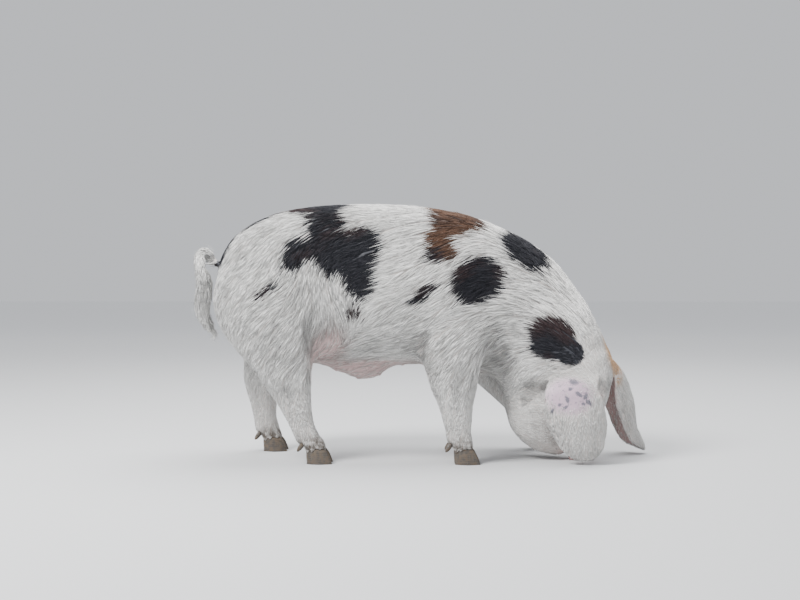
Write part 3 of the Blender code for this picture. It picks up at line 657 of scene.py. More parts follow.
def shape_lids(mesh, word):
    """Draws the skin over an eye as two lids round an almond opening, with a rim of bone behind."""
    centre, look, along, across = frame_of_eye(word)
    points = points_of(mesh)
    offset = points - centre
    u, v, w = offset @ along, offset @ across, offset @ look
    away = np.sqrt(u * u + v * v)
    on_ball = unit(offset) * EYE_RADIUS
    opening = (on_ball @ along / EYE_OPENING[0]) ** 2 + np.abs(on_ball @ across) / EYE_OPENING[1]
    opening = np.where(w > 0, opening, 9.0)
    depth, start, width = LID_FOLD
    crease_of_lid = depth * np.exp(-(((opening - start) / width) ** 2))
    thick = LID * (1 + smooth_step((opening - 1.0) / 0.6) - crease_of_lid)
    radius = np.where(opening < 1.0, EYE_RADIUS - SOCKET, EYE_RADIUS + thick)
    share = 1 - smooth_step((away - LID_START) / (LID_REACH - LID_START))
    share = share * smooth_step((w + 0.002) / 0.004)
    close_by = np.linalg.norm(offset, axis=1) < 1.25 * LID_REACH
    lids = centre + unit(offset) * radius[:, None]
    points = points + (lids - points) * (share * close_by)[:, None]
    height, start, width = BROW
    ridge = height * np.exp(-(((away - start) / width) ** 2)) * close_by * (v > -0.004)
    place(mesh, points + look * ridge[:, None])


def raise_teats(mesh):
    """A row of teats each side of the belly's middle."""
    points, normals = surface_of(mesh)
    tree = tree_of(mesh)
    for x in TEATS:
        for side in TEAT_SIDES:
            foot = np.array(tree.ray_cast(Vector((x, side, 0.0)), Vector((0, 0, 1)))[0])
            away = np.linalg.norm(points - foot, axis=1)
            rise = TEAT_SIZE[0] * np.exp(-((away / TEAT_SIZE[1]) ** 4))
            rise += TEAT_MOUND[0] * np.exp(-((away / TEAT_MOUND[1]) ** 2))
            points += (np.array((0, side * 3, -1.0)) * rise[:, None]) * (normals[:, 2:] < 0.2)
    place(mesh, points)


def open_nostrils(mesh):
    """Two pits in the disc of the snout."""
    points = points_of(mesh)
    disc = np.array(middle("snout_disc"))
    for side in NOSTRILS:
        pit = disc + np.array(turned((0, 1, 0))) * side
        away = np.linalg.norm((points - pit)[:, :2] * (0.8, 1.0), axis=1)
        low = points[:, 2] < 0.010
        points[:, 2] += NOSTRIL_DEPTH * np.exp(-((away / NOSTRIL_RADIUS) ** 4)) * low
    place(mesh, points)


def skin_mesh(flesh):
    mesh = rough_skin()
    sink(mesh, flesh)
    mesh = thin(mesh)
    widen_ears(mesh, flesh)
    refine(mesh, (0.500, -0.080, 0.110), 0.150)
    refine(mesh, middle("snout_disc"), 0.060)
    for x in TEATS:
        for side in TEAT_SIDES:
            refine(mesh, (x, side, 0.285), 0.032)
    for word in ("right", "left"):
        centre = Vector(frame_of_eye(word)[0])
        for reach in (0.034, 0.026, 0.022):
            refine(mesh, centre, reach)
    dent(mesh)
    crease(mesh)
    raise_teats(mesh)
    open_nostrils(mesh)
    for word in ("right", "left"):
        shape_lids(mesh, word)
    note_ear_insides(mesh, flesh)
    return mesh


# ---------------------------------------------------------------- colours
class Graph:
    """Adds linked shader nodes to a tree."""

    def __init__(self, tree):
        self.tree = tree

    def node(self, sort, inputs=(), **settings):
        node = self.tree.nodes.new(sort)
        for name, value in settings.items():
            setattr(node, name, value)
        for name, value in dict(inputs).items():
            socket = node.inputs[name]
            if isinstance(value, bpy.types.NodeSocket):
                self.tree.links.new(value, socket)
            else:
                socket.default_value = value
        return node

    def maths(self, operation, a, b=0.0, c=0.0):
        return self.node("ShaderNodeMath", {0: a, 1: b, 2: c}, operation=operation).outputs[0]

    def mix(self, factor, a, b):
        node = self.node("ShaderNodeMix", {0: factor, 6: a, 7: b}, data_type="RGBA")
        return node.outputs[2]

    def noise(self, vector, scale, detail=2.0, rough=0.5):
        inputs = {"Vector": vector, "Scale": scale, "Detail": detail, "Roughness": rough}
        return self.node("ShaderNodeTexNoise", inputs).outputs[0]

    def step(self, value, low, high):
        """0 below low and 1 above high, with a soft edge."""
        inputs = {"Value": value, "From Min": low, "From Max": high}
        return self.node("ShaderNodeMapRange", inputs, interpolation_type="SMOOTHSTEP").outputs[0]

    def frame_of(self, place):
        """The frame that the marks share, shaken a little so that their edges are ragged."""
        for scale, amount in ((11.0, 0.016), (60.0, 0.006)):
            noise = self.node("ShaderNodeTexNoise", {"Vector": place, "Scale": scale, "Detail": 1.0})
            centred = self.node(
                "ShaderNodeVectorMath", {0: noise.outputs[1], 1: (0.5, 0.5, 0.5)}, operation="SUBTRACT"
            )
            scaled = self.node(
                "ShaderNodeVectorMath", {0: centred.outputs[0], "Scale": amount}, operation="SCALE"
            )
            place = self.node("ShaderNodeVectorMath", {0: place, 1: scaled.outputs[0]}).outputs[0]
        return place


def markings_group():
    """Where the coat and the skin are black, brown, bare or muddy, and where the poll's hair takes a
    painted rim light, as masks from a place.
    """
    tree = bpy.data.node_groups.new("Markings", "ShaderNodeTree")
    tree.interface.new_socket("Place", in_out="INPUT", socket_type="NodeSocketVector")
    for name in MARKS:
        tree.interface.new_socket(name.title(), in_out="OUTPUT", socket_type="NodeSocketFloat")
    graph = Graph(tree)
    ends = graph.node("NodeGroupOutput")
    place = graph.frame_of(graph.node("NodeGroupInput").outputs[0])
    masks = {}
    for name, marks in MARKS.items():
        nearest = 9.0
        for centre, radii, turn in marks:
            inputs = {"Vector": place, "Location": centre, "Scale": radii}
            inputs["Rotation"] = (0, -math.radians(turn), 0)
            local = graph.node("ShaderNodeMapping", inputs, vector_type="TEXTURE").outputs[0]
            away = graph.node("ShaderNodeVectorMath", {0: local}, operation="LENGTH").outputs["Value"]
            nearest = graph.maths("SMOOTH_MIN", nearest, away, 0.12)
        if name == "freckle":
            shaken = graph.maths("SUBTRACT", graph.noise(place, 280.0), 0.5)
            nearest = graph.maths("MULTIPLY_ADD", shaken, 1.3, nearest)
        soft = 0.30 if name in SOFT_MARKS else 0.05
        masks[name] = graph.step(nearest, 1 + soft, 1 - soft)
    masks["black"] = graph.maths("SUBTRACT", masks["black"], masks["white"])
    for name, mask in masks.items():
        tree.links.new(graph.maths("MAXIMUM", mask, 0.0), ends.inputs[name.title()])
    return tree


def new_material(name, roughness):
    """A material's graph and its Principled shader."""
    material = bpy.data.materials.new(name)
    material.use_nodes = True
    shader = material.node_tree.nodes["Principled BSDF"]
    shader.inputs["Roughness"].default_value = roughness
    return material, Graph(material.node_tree), shader


def marks_at(graph, place):
    group = graph.node("ShaderNodeGroup", node_tree=MARKINGS)
    graph.tree.links.new(place, group.inputs[0])
    return {name: group.outputs[name.title()] for name in MARKS}


def soiled_at(graph, marks, place):
    """Where dried mud clings, in flecks."""
    flecks = graph.step(graph.noise(place, 70.0, 3.0), 0.30, 0.62)
    return graph.maths("MULTIPLY", marks["mud"], flecks)


def skin_material():
    material, graph, shader = new_material("skin", 0.50)
    place = graph.node("ShaderNodeTexCoord").outputs["Object"]
    marks = marks_at(graph, place)
    colour = graph.mix(graph.noise(place, 24.0, 4.0), (0.46, 0.42, 0.39, 1), (0.66, 0.61, 0.58, 1))
    # The real pink of bare skin and of the ears' insides, darkened by painted shade, as these places lie
    # under the belly, in the flank's pocket and in the ears' hollows
    rosy = graph.mix(graph.noise(place, 60.0, 4.0), (0.37, 0.25, 0.245, 1), (0.54, 0.40, 0.385, 1))
    inner = graph.node("ShaderNodeAttribute", attribute_name="inner").outputs["Fac"]
    colour = graph.mix(graph.maths("MAXIMUM", marks["bare"], inner), colour, rosy)
    mottled = graph.step(graph.noise(place, 130.0, 4.0), 0.34, 0.68)
    nose = graph.mix(mottled, (0.36, 0.21, 0.20, 1), (0.54, 0.35, 0.335, 1))
    colour = graph.mix(graph.maths("MULTIPLY", marks["muzzle"], 0.7), colour, nose)
    colour = graph.mix(marks["snout"], colour, nose)
    colour = graph.mix(graph.maths("MULTIPLY", marks["lids"], 0.8), colour, (0.34, 0.24, 0.225, 1))
    lilac = graph.mix(graph.noise(place, 40.0, 4.0), (0.40, 0.29, 0.37, 1), (0.62, 0.47, 0.55, 1))
    colour = graph.mix(marks["pink"], colour, lilac)
    smudge = graph.step(graph.noise(place, 95.0, 3.0), 0.58, 0.66)
    smudge = graph.maths("MULTIPLY", smudge, graph.maths("MULTIPLY", marks["pink"], 0.5))
    speckled = graph.maths("MULTIPLY", marks["freckle"], 0.85)
    colour = graph.mix(graph.maths("MAXIMUM", smudge, speckled), colour, FRECKLE)
    colour = graph.mix(marks["black"], colour, (0.030, 0.032, 0.040, 1))
    colour = graph.mix(marks["brown"], colour, (0.10, 0.060, 0.045, 1))
    colour = graph.mix(soiled_at(graph, marks, place), colour, (0.085, 0.065, 0.048, 1))
    graph.tree.links.new(colour, shader.inputs["Base Color"])
    inputs = {"Vector": place, "Scale": 330.0}
    creases = graph.node("ShaderNodeTexVoronoi", inputs, feature="DISTANCE_TO_EDGE")
    creased = graph.step(creases.outputs["Distance"], 0.0, 0.20)
    grain = graph.maths("MULTIPLY_ADD", creased, 0.22, graph.noise(place, 260.0, 4.0))
    bump = graph.node("ShaderNodeBump", {"Height": grain, "Strength": 0.5, "Distance": 0.0006})
    graph.tree.links.new(bump.outputs[0], shader.inputs["Normal"])
    return material


def hair_material():
    material, graph, shader = new_material("hair", 0.60)
    shader.inputs["Specular IOR Level"].default_value = 0.22
    spot = graph.node("ShaderNodeAttribute", attribute_name="spot").outputs["Vector"]
    tone = graph.node("ShaderNodeAttribute", attribute_name="tone").outputs["Fac"]
    along = graph.node("ShaderNodeAttribute", attribute_name="along").outputs["Fac"]
    marks = marks_at(graph, spot)
    cloudy = graph.maths("SUBTRACT", graph.noise(spot, 6.0, 2.0), 0.5)
    tone = graph.maths("MULTIPLY_ADD", cloudy, 0.5, tone)
    white = graph.mix(tone, (0.21, 0.205, 0.20, 1), (0.92, 0.91, 0.89, 1))
    # Painted shade at the roots: each tuft grows lighter toward its tip
    white = graph.mix(graph.maths("MULTIPLY", along, 0.25), white, (0.93, 0.92, 0.88, 1))
    # Hair on bare places shows the skin's pink, darkened by painted shade under the belly
    white = graph.mix(graph.maths("MULTIPLY", marks["bare"], 0.50), white, (0.52, 0.41, 0.39, 1))
    black = graph.mix(tone, (0.005, 0.006, 0.009, 1), (0.024, 0.024, 0.030, 1))
    rusty = graph.step(graph.noise(spot, 8.0, 2.0), 0.50, 0.66)
    black = graph.mix(graph.maths("MULTIPLY", rusty, 0.55), black, (0.050, 0.026, 0.024, 1))
    brown = graph.mix(tone, (0.012, 0.008, 0.008, 1), (0.150, 0.080, 0.050, 1))
    dusky = graph.step(graph.noise(spot, 9.0, 2.0), 0.44, 0.62)
    brown = graph.mix(graph.maths("MULTIPLY", dusky, 0.65), brown, (0.030, 0.020, 0.018, 1))
    # Painted rim light: the warm glow of backlit hair about the poll, given as a tan colour
    painted_rim_light = graph.mix(tone, (0.32, 0.18, 0.10, 1), (0.68, 0.45, 0.27, 1))
    colour = graph.mix(marks["painted_rim_light"], white, painted_rim_light)
    colour = graph.mix(marks["brown"], colour, brown)
    colour = graph.mix(marks["black"], colour, black)
    colour = graph.mix(graph.maths("MULTIPLY", marks["freckle"], 0.95), colour, FRECKLE)
    soiled = graph.maths("MULTIPLY", soiled_at(graph, marks, spot), 0.85)
    colour = graph.mix(soiled, colour, (0.10, 0.078, 0.058, 1))
    graph.tree.links.new(colour, shader.inputs["Base Color"])
    return material


def horn_material():
    """Dark horn in rings of growth, muddy toward the sole."""
    material, graph, shader = new_material("horn", 0.42)
    place = graph.node("ShaderNodeTexCoord").outputs["Object"]
    inputs = {"Vector": place, "Scale": 55.0, "Distortion": 5.0, "Detail": 3.0, "Detail Scale": 1.2}
    rings = graph.node("ShaderNodeTexWave", inputs, bands_direction="Z").outputs["Fac"]
    colour = graph.mix(rings, (0.046, 0.039, 0.034, 1), (0.078, 0.066, 0.054, 1))
    streaks = graph.node("ShaderNodeMapping", {"Vector": place, "Scale": (260.0, 260.0, 12.0)}).outputs[0]
    colour = graph.mix(graph.step(graph.noise(streaks, 1.0), 0.50, 0.85), colour, (0.14, 0.12, 0.09, 1))
    caked = graph.step(graph.noise(place, 85.0, 4.0), 0.40, 0.62)
    mud = graph.maths("MULTIPLY", marks_at(graph, place)["mud"], caked)
    colour = graph.mix(mud, colour, (0.105, 0.080, 0.058, 1))
    graph.tree.links.new(colour, shader.inputs["Base Color"])
    rough = graph.maths("MULTIPLY_ADD", mud, 0.45, 0.40)
    graph.tree.links.new(rough, shader.inputs["Roughness"])
    height = graph.maths("MULTIPLY_ADD", mud, 0.8, rings)
    bump = graph.node("ShaderNodeBump", {"Height": height, "Strength": 0.45, "Distance": 0.0006})
    graph.tree.links.new(bump.outputs[0], shader.inputs["Normal"])
    return material


def eye_material():
    """White, brown iris in rays, and pupil, by the angle from the gaze."""
    material, graph, shader = new_material("eye", 0.06)
    shader.inputs["Coat Weight"].default_value = 0.6
    shader.inputs["Coat Roughness"].default_value = 0.03
    angle = graph.node("ShaderNodeAttribute", attribute_name="gaze").outputs["Fac"]
    place = graph.node("ShaderNodeTexCoord").outputs["Object"]
    colour = graph.mix(graph.noise(place, 500.0, 3.0), (0.42, 0.33, 0.29, 1), (0.66, 0.60, 0.54, 1))
    iris = graph.mix(graph.noise(place, 1500.0, 2.0), (0.055, 0.028, 0.012, 1), (0.17, 0.090, 0.038, 1))
    iris = graph.mix(graph.step(angle, IRIS - 0.10, IRIS), iris, (0.018, 0.011, 0.008, 1))
    colour = graph.mix(graph.step(angle, IRIS + 0.03, IRIS - 0.03), colour, iris)
    colour = graph.mix(graph.step(angle, PUPIL + 0.02, PUPIL - 0.02), colour, (0.003, 0.003, 0.003, 1))
    graph.tree.links.new(colour, shader.inputs["Base Color"])
    return material


# ---------------------------------------------------------------- the coat
def lie_at(points, parts):
    """The way the hair points at each point, blended from the arrows of its part."""
    found = np.zeros_like(points)
    for index, name in enumerate(FLESH):
        here = np.flatnonzero(parts == index)
        rows = np.array(LIE.get(name, LIE["leg"]))
        if not name.startswith(("ear", "tail")):
            rows = np.vstack([rows, rows * (1, -1, 1, 1, -1, 1)])
        away = ((points[here, None, :] - rows[None, :, :3]) ** 2).sum(axis=2)
        weight = 1 / (away + 0.0004) ** 1.5
        found[here] = unit(weight @ unit(rows[:, 3:]))
    return found


def mark_share(points, name, grow=1.0):
    """How far each point lies inside the marks of a name, without their ragged edge."""
    share = np.zeros(len(points))
    for centre, radii, turn in MARKS[name]:
        c, s = math.cos(math.radians(turn)), math.sin(math.radians(turn))
        x, y, z = (points - centre).T
        local = np.stack([x * c + z * s, y, z * c - x * s], 1) / (np.array(radii) * grow)
        share = np.maximum(share, smooth_step((1.15 - np.linalg.norm(local, axis=1)) / 0.4))
    return share


def unwrap(mesh):
    """The faces of a light copy of the skin with their places on an unwrap of it."""
    obj = link("unwrap", mesh.copy())
    fewer = obj.modifiers.new("fewer", "DECIMATE")
    fewer.ratio = UNWRAP_TRIANGLES / len(mesh.polygons)
    light = link("light", evaluated_mesh(obj))
    bpy.context.view_layer.objects.active = light
    light.select_set(True)
    bpy.ops.object.mode_set(mode="EDIT")
    bpy.ops.mesh.select_all(action="SELECT")
    bpy.ops.uv.smart_project(angle_limit=math.radians(66), island_margin=0.003)
    bpy.ops.object.mode_set(mode="OBJECT")
    mesh = light.data
    mesh.calc_loop_triangles()
    corners = read(mesh.loop_triangles, "vertices", 3, np.int32)
    loops = read(mesh.loop_triangles, "loops", 3, np.int32)
    flat = read(mesh.uv_layers.active.uv, "vector", 2)[loops]
    points = points_of(mesh)
    bpy.data.objects.remove(light)
    return points, corners, flat


def places_on_map(roots, unwrapped):
    """Each root's place on the unwrap."""
    points, corners, flat = unwrapped
    tree = BVHTree.FromPolygons(points.tolist(), corners.tolist())
    face = np.array([tree.find_nearest(Vector(p))[2] for p in roots])
    a, b, c = (points[corners[face, k]] for k in range(3))
    whole = np.linalg.norm(np.cross(b - a, c - a), axis=1)
    areas = [np.linalg.norm(np.cross(q - p, roots - p), axis=1) for p, q in ((b, c), (c, a))]
    first, second = (np.clip(area / np.maximum(whole, 1e-12), 0, 1) for area in areas)
    second = np.minimum(second, 1 - first)
    shares = np.stack([first, second, 1 - first - second], 1)
    found = (flat[face] * shares[:, :, None]).sum(axis=1)
    low, high = found.min(axis=0), found.max(axis=0)
    return PATCH + (1 - 3 * PATCH) * (found - low) / (high - low)


class Skin:
    """The finished skin as arrays, with what it wears at each vertex."""

    def __init__(self, mesh, flesh):
        mesh.calc_loop_triangles()
        self.points, self.normals = surface_of(mesh)
        self.triangles = read(mesh.loop_triangles, "vertices", 3, np.int32)
        edges = read(mesh.edges, "vertices", 2, np.int32)
        cover, parts = cover_at(self.points, edges, flesh, COVER_PASSES // 4)
        lie = spread(lie_at(self.points, parts), edges, SEAM_PASSES)
        lie -= self.normals * (lie * self.normals).sum(axis=1, keepdims=True)
        self.lie = unit(lie)
        heights = self.points[:, 2]
        on = {
            "bare": np.maximum(mark_share(self.points, "bare"), mark_share(self.points, "pink")),
            "ear_back": mark_share(self.points, "pink", 0.9),
            "muzzle": smooth_step((0.085 - heights) / 0.055) * (parts == FLESH.index("head")),
            "snout": mark_share(self.points, "snout"),
            "ear_inside": noted(mesh, "inner"),
        }
        for where, losses in SPARSE.items():
            for column, loss in zip((DENSITY, LENGTH, RISE), losses):
                cover[:, column] *= 1 - loss * on[where]
        for word in ("right", "left"):
            away = np.linalg.norm(self.points - frame_of_eye(word)[0], axis=1)
            cover[:, DENSITY] *= smooth_step((away - 0.0125) / 0.003)
            for column, kept in AT_EYE.items():
                cover[:, column] *= kept + (1 - kept) * smooth_step((away - 0.013) / 0.03)
        free = EAR_FREE * np.array([name.startswith("ear") for name in FLESH])[parts]
        tail = parts == FLESH.index("tail")
        free = np.maximum(free, tail * smooth_step((TAIL_TIP - heights) / 0.10))
        # How deep each place lies in a hollow, which darkens its hair as painted shade
        hollow = np.clip(noted(mesh, "hollow") / DEEP, 0, 1)
        self.cover = np.column_stack([cover, spread(free[:, None], edges, 4), hollow])
        self.tree = BVHTree.FromPolygons(self.points.tolist(), self.triangles.tolist())
        self.unwrapped = unwrap(mesh)

    def sample(self, count, random):
        """Roots all over the skin: their faces and their shares of the three corners."""
        a, b, c = (self.points[self.triangles[:, k]] for k in range(3))
        area = np.linalg.norm(np.cross(b - a, c - a), axis=1)
        weight = np.cumsum(area * self.cover[:, DENSITY][self.triangles].mean(axis=1))
        steps = (np.arange(count) + random.random(count)) / count
        face = np.searchsorted(weight, steps * weight[-1])
        r, s = np.sqrt(random.random(count)), random.random(count)
        return face, np.stack([1 - r, r * (1 - s), r * s], 1)

    def at(self, values, face, shares):
        return (values[self.triangles[face]] * shares[:, :, None]).sum(axis=1)

    def nearest(self, points):
        """The nearest points on the skin, and their faces."""
        found = [self.tree.find_nearest(Vector(p)) for p in points]
        return np.array([f[0] for f in found]), np.array([f[2] for f in found])

    def normals_at(self, face, points):
        """The skin's soft normal at points of faces."""
        corners = self.triangles[face]
        away = np.linalg.norm(self.points[corners] - points[:, None, :], axis=2)
        weight = 1 / (away + 1e-4)
        return unit((self.normals[corners] * weight[:, :, None]).sum(axis=1))


def clump_of(roots, lie, share, random):
    """The middle of the slim clump that each root belongs to, and the clump's number."""
    middles = roots[random.choice(len(roots), int(len(roots) * share), replace=False)]
    tree = KDTree(len(middles))
    for index, point in enumerate(middles):
        tree.insert(Vector(point), index)
    tree.balance()
    near = np.array([[found[1] for found in tree.find_n(Vector(p), 8)] for p in roots])
    offset = middles[near] - roots[:, None, :]
    along = (offset * lie[:, None, :]).sum(axis=2)
    away = (offset**2).sum(axis=2) - (1 - CLUMP_SLIM**2) * along**2
    number = near[np.arange(len(roots)), away.argmin(axis=1)]
    return middles[number], number, len(middles)


def grow_tufts(skin, count, seed=7):
    """The three stations of each tuft with their sides and ups, its width, root and tone, and the spot
    where its marks are read.
    """
    random = np.random.default_rng(seed)
    face, shares = skin.sample(count, random)
    roots = skin.at(skin.points, face, shares)
    normals = unit(skin.at(skin.normals, face, shares))
    lie = skin.at(skin.lie, face, shares)
    cover = skin.at(skin.cover, face, shares)
    length = cover[:, LENGTH] * random.uniform(*VARIES[LENGTH], count)
    wide = cover[:, WIDE] * random.uniform(*VARIES[WIDE], count)
    rise = cover[:, RISE] * random.uniform(*VARIES[RISE], count)
    stray = random.random(count) < STRAYS
    rise *= np.where(stray, 1.9, 1.0)
    wide *= np.where(stray, 0.55, 1.0)
    free = cover[:, FREE, None]

    _, broad, broads = clump_of(roots, lie, BROAD_CLUMPS, random)
    fine_middles, fine, fines = clump_of(roots, lie, FINE_CLUMPS, random)
    swing = random.normal(0, SWING[0], broads)[broad] + random.normal(0, SWING[1], fines)[fine]
    swing += random.normal(0, SWING[2], count)
    lie = unit(lie + np.cross(normals, lie) * swing[:, None])
    pull = fine_middles - roots
    pull -= lie * (pull * lie).sum(axis=1, keepdims=True)
    # Toward the edge of a clump the hair lies lower and is darker, painted shade between the clumps
    edge = np.clip(np.linalg.norm(pull, axis=1) / (wide * 2.6), 0, 1)
    rise *= 1.15 - 0.45 * edge
    tone = random.normal(0, TONES[0], broads)[broad] + random.normal(0, TONES[1], fines)[fine]
    tone += random.normal(0, TONES[2], count) - 0.34 * edge
    # Painted shade in hollows: the deeper a root lies, the darker its hair
    tone = 0.72 + tone * np.clip(length / 0.045, 0.55, 1.0) - 0.50 * cover[:, HOLLOW]

    # From the root the tuft runs along the skin in two steps, drawn toward its clump's middle
    stations = [roots - normals * ROOT_DEPTH]
    here, way = roots, lie
    for high, draw in ((0.62, 0.30), (1.0, 0.35)):
        ahead = here + way * (length / 2)[:, None] + pull * draw
        found, face = skin.nearest(ahead)
        up = skin.normals_at(face, found)
        found = found + (ahead - found) * free
        way = unit(found - here)
        way = unit(way - up * (way * up).sum(axis=1, keepdims=True))
        here = found
        stations.append(found + up * (rise * high)[:, None])
    spots = (roots + here) / 2 + random.normal(0, 1, (count, 3)) * (0.13 * length)[:, None]
    sides = [unit(np.cross(unit(station - stations[0]), normals)) for station in stations[1:]]
    return {
        "stations": np.stack(stations, 1),
        "sides": np.stack(sides, 1),
        "ups": np.stack([normals, normals], 1),
        "wide": wide,
        "roots": roots,
        "spots": spots,
        "tone": np.clip(tone, 0, 1),
    }


def grow_lashes(word, seed=3):
    """Lashes along the upper lid, as tufts."""
    random = np.random.default_rng(seed)
    centre, look, along, across = frame_of_eye(word)
    share = np.sort(random.uniform(-0.85, 0.85, 44))
    length = random.uniform(0.0026, 0.0044, len(share))[:, None]
    margin = EYE_OPENING[1] * (1 - share**2) + random.uniform(0.0004, 0.0012, len(share))
    out = along * (EYE_OPENING[0] * share)[:, None] + across * margin[:, None]
    lift = np.sqrt((EYE_RADIUS + LID) ** 2 - (out**2).sum(axis=1))
    roots = centre + out + look * (lift - 0.0004)[:, None]
    astray = random.normal(0, 0.14, (len(share), 3))
    way = unit(look * 0.7 + across * 0.6 + along * (share * 0.6)[:, None] + astray)
    bend = unit(look * 0.1 + across * 0.8 + along * (share * 0.8)[:, None] + astray)
    middles = roots + way * length
    side = np.repeat(along[None, :], len(share), axis=0)
    return {
        "stations": np.stack([roots, middles, middles + bend * length], 1),
        "sides": np.stack([side, side], 1),
        "ups": np.stack([bend, bend], 1),
        "wide": np.full(len(share), 0.00026),
        "roots": roots,
        "spots": roots,
        "tone": random.uniform(0.35, 0.7, len(share)),
    }


# The faces of a tuft: three sides between two rings of three corners, a tip and a cap at the root
TUFT_FACES = [(0, 1, 4, 3), (1, 2, 5, 4), (2, 0, 3, 5), (3, 4, 6), (4, 5, 6), (5, 3, 6), (2, 1, 0)]
TUFT_MAP = []
for side in range(3):
    TUFT_MAP += [(side / 3, 0), ((side + 1) / 3, 0), ((side + 1) / 3, 0.5), (side / 3, 0.5)]
for side in range(3):
    TUFT_MAP += [(side / 3, 0.5), ((side + 1) / 3, 0.5), ((side + 0.5) / 3, 1)]
TUFT_MAP += [(0, 0), (0.33, 0), (0.17, 0.25)]


def coat_piece(name, tufts, pick, map_places, material):
    """One mesh of the picked tufts."""
    stations, sides, ups = tufts["stations"][pick], tufts["sides"][pick], tufts["ups"][pick]
    wide = tufts["wide"][pick, None]
    corners = []
    for ring, share in ((0, 0.8), (1, 1.0)):
        for across, high in ((-1.0, 0.0), (1.0, 0.0), (0.0, 0.9)):
            offset = sides[:, ring] * across + ups[:, ring] * high
            corners.append(stations[:, ring] + offset * wide * share)
    corners.append(stations[:, 2])
    corners = np.stack(corners, 1)
    count = len(corners)
    sizes = np.array([len(f) for f in TUFT_FACES])
    pattern = np.concatenate(TUFT_FACES)
    mesh = bpy.data.meshes.new(name)
    mesh.vertices.add(count * 7)
    mesh.vertices.foreach_set("co", corners.astype(np.float32).ravel())
    mesh.loops.add(count * len(pattern))
    chain = pattern + 7 * np.arange(count)[:, None]
    mesh.loops.foreach_set("vertex_index", chain.astype(np.int32).ravel())
    mesh.polygons.add(count * len(sizes))
    starts = np.cumsum(sizes) - sizes + len(pattern) * np.arange(count)[:, None]
    mesh.polygons.foreach_set("loop_start", starts.astype(np.int32).ravel())
    mesh.update(calc_edges=True)
    mesh.shade_smooth()
    flat = map_places[pick][:, None, :] + PATCH * (np.array(TUFT_MAP) - (0.5, 0.0))
    mesh.uv_layers.new(name="OFBake").uv.foreach_set("vector", flat.astype(np.float32).ravel())
    note(mesh, "spot", np.repeat(tufts["spots"][pick], 7, axis=0), "FLOAT_VECTOR")
    note(mesh, "tone", np.repeat(tufts["tone"][pick], 7))
    note(mesh, "along", np.tile((0, 0, 0, 0.5, 0.5, 0.5, 1.0), count))
    mesh.materials.append(material)
    return link(name, mesh)


def make_coat(skin):
    grown = [grow_tufts(skin, TUFTS), grow_lashes("right"), grow_lashes("left")]
    tufts = {what: np.concatenate([some[what] for some in grown]) for what in grown[0]}
    map_places = places_on_map(tufts["roots"], skin.unwrapped)
    material = hair_material()
    count = len(map_places)
    pieces = math.ceil(count / PIECE_TUFTS)
    for index in range(pieces):
        pick = np.arange(index, count, pieces)
        coat = coat_piece(f"coat_{index + 1}", tufts, pick, map_places, material)
        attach(coat, "root")


def make_skin(flesh):
    mesh = skin_mesh(flesh)
    mesh.name = "skin"
    mesh.shade_smooth()
    mesh.materials.clear()
    mesh.materials.append(skin_material())
    piece = link("skin", mesh)
    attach(piece, "root")
    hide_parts(*FLESH)
    return mesh


# ---------------------------------------------------------------- hooves and eyes
def make_hooves(material):
    """The claws and dewclaws of each foot with rounded walls and sharp-edged flat soles."""
    for leg in LEGS:
        nodes = [f"{what}_{leg}_{side}" for what in ("claw", "dewclaw") for side in ("right", "left")]
        bm = cad_copy(nodes)
        bmesh.ops.join_triangles(
            bm, faces=bm.faces, angle_face_threshold=0.6, angle_shape_threshold=3.1, cmp_seam=False
        )
        crease_layer = bm.edges.layers.float.new("crease_edge")
        for edge in bm.edges:
            if max(v.co.z for v in edge.verts) < 0.001:
                edge[crease_layer] = 1.0
        rough = link("rough_hooves", mesh_of(bm, "rough_hooves"))
        rounder = rough.modifiers.new("rounder", "SUBSURF")
        rounder.levels = rounder.render_levels = 2
        mesh = evaluated_mesh(rough)
        mesh.shade_smooth()
        mesh.materials.clear()
        mesh.materials.append(material)
        hooves = link(f"hooves_{leg}", mesh)
        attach(hooves, "root")
        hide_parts(*nodes)


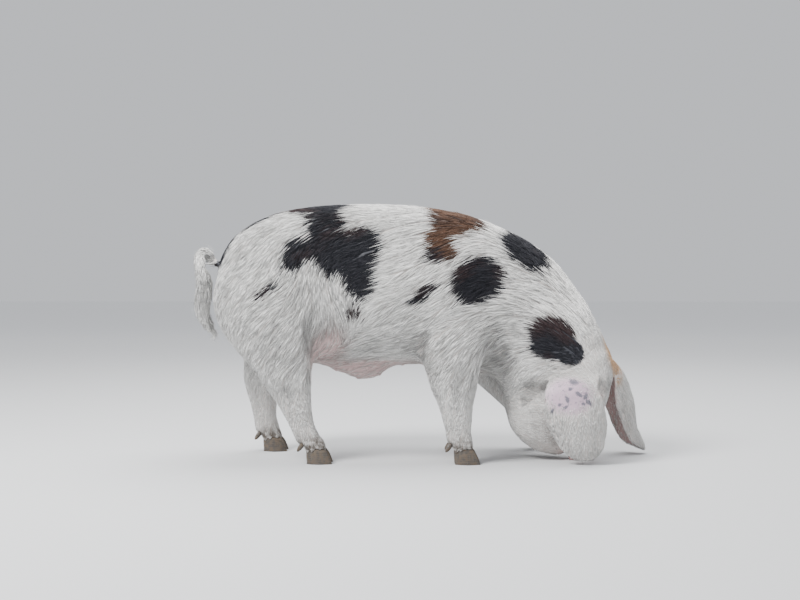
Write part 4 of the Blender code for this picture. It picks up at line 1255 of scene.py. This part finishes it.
def make_eyes(material):
    """Each eye as a ball with a bulging cornea."""
    for word in ("right", "left"):
        centre, look, _, _ = frame_of_eye(word)
        bm = bmesh.new()
        bmesh.ops.create_icosphere(bm, subdivisions=5, radius=EYE_RADIUS)
        ball = mesh_of(bm, f"eye_ball_{word}")
        points = points_of(ball)
        turn = np.array(Vector(look).to_track_quat("Z", "Y").to_matrix())
        angle = np.arccos(np.clip(unit(points)[:, 2], -1, 1))
        points *= (1 + 0.085 * smooth_step((IRIS + 0.12 - angle) / 0.55))[:, None]
        place(ball, points @ turn.T + centre)
        ball.shade_smooth()
        note(ball, "gaze", angle)
        ball.materials.append(material)
        eye = link(f"eye_ball_{word}", ball)
        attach(eye, "root")
        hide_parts(f"eye_{word}")


# ---------------------------------------------------------------- studio
def make_camera():
    data = bpy.data.cameras.new("camera")
    data.lens = 54
    data.sensor_width = 36
    camera = bpy.data.objects.new("camera", data)
    camera.location = (-0.0736, -3.8, 0.553)
    camera.rotation_euler = (math.radians(89.14), 0, 0)
    bpy.context.scene.collection.objects.link(camera)
    bpy.context.scene.camera = camera


def area_light(name, place, target, size, power, colour=(1, 1, 1)):
    data = bpy.data.lights.new(name, "AREA")
    data.shape = "DISK"
    data.size = size
    data.energy = power
    data.color = colour
    light = bpy.data.objects.new(name, data)
    light.location = place
    light.rotation_euler = (Vector(target) - Vector(place)).to_track_quat("-Z", "Y").to_euler()
    bpy.context.scene.collection.objects.link(light)


def make_studio():
    bm = bmesh.new()
    bmesh.ops.create_grid(bm, x_segments=1, y_segments=1, size=30.0)
    floor = link("floor", mesh_of(bm, "floor"))
    material, graph, shader = new_material("studio_floor", 0.85)
    place = graph.node("ShaderNodeTexCoord").outputs["Object"]
    away = graph.node("ShaderNodeVectorMath", {0: place}, operation="LENGTH").outputs["Value"]
    # Painted light: the floor grows paler away from the pig, making up for the lamps' light that falls off
    # toward the horizon
    colour = graph.mix(graph.step(away, 1.5, 9.0), (0.56, 0.565, 0.57, 1), (0.93, 0.935, 0.94, 1))
    graph.tree.links.new(colour, shader.inputs["Base Color"])
    floor.data.materials.append(material)
    area_light("key", (-2.2, -1.8, 3.4), (0, 0, 0.4), 1.6, 330)
    area_light("top", (0.4, 1.4, 4.0), (0, 0.4, 0), 4.0, 260)
    area_light("fill", (3.4, -2.6, 1.6), (0, 0, 0.3), 3.0, 25)
    world = bpy.data.worlds.new("studio")
    world.use_nodes = True
    world.node_tree.nodes["Background"].inputs[0].default_value = (0.86, 0.88, 0.92, 1)
    world.node_tree.nodes["Background"].inputs[1].default_value = 0.80
    bpy.context.scene.world = world


MARKINGS = markings_group()
make_camera()
make_studio()
flesh = Flesh()
make_coat(Skin(make_skin(flesh), flesh))
make_hooves(horn_material())
make_eyes(eye_material())
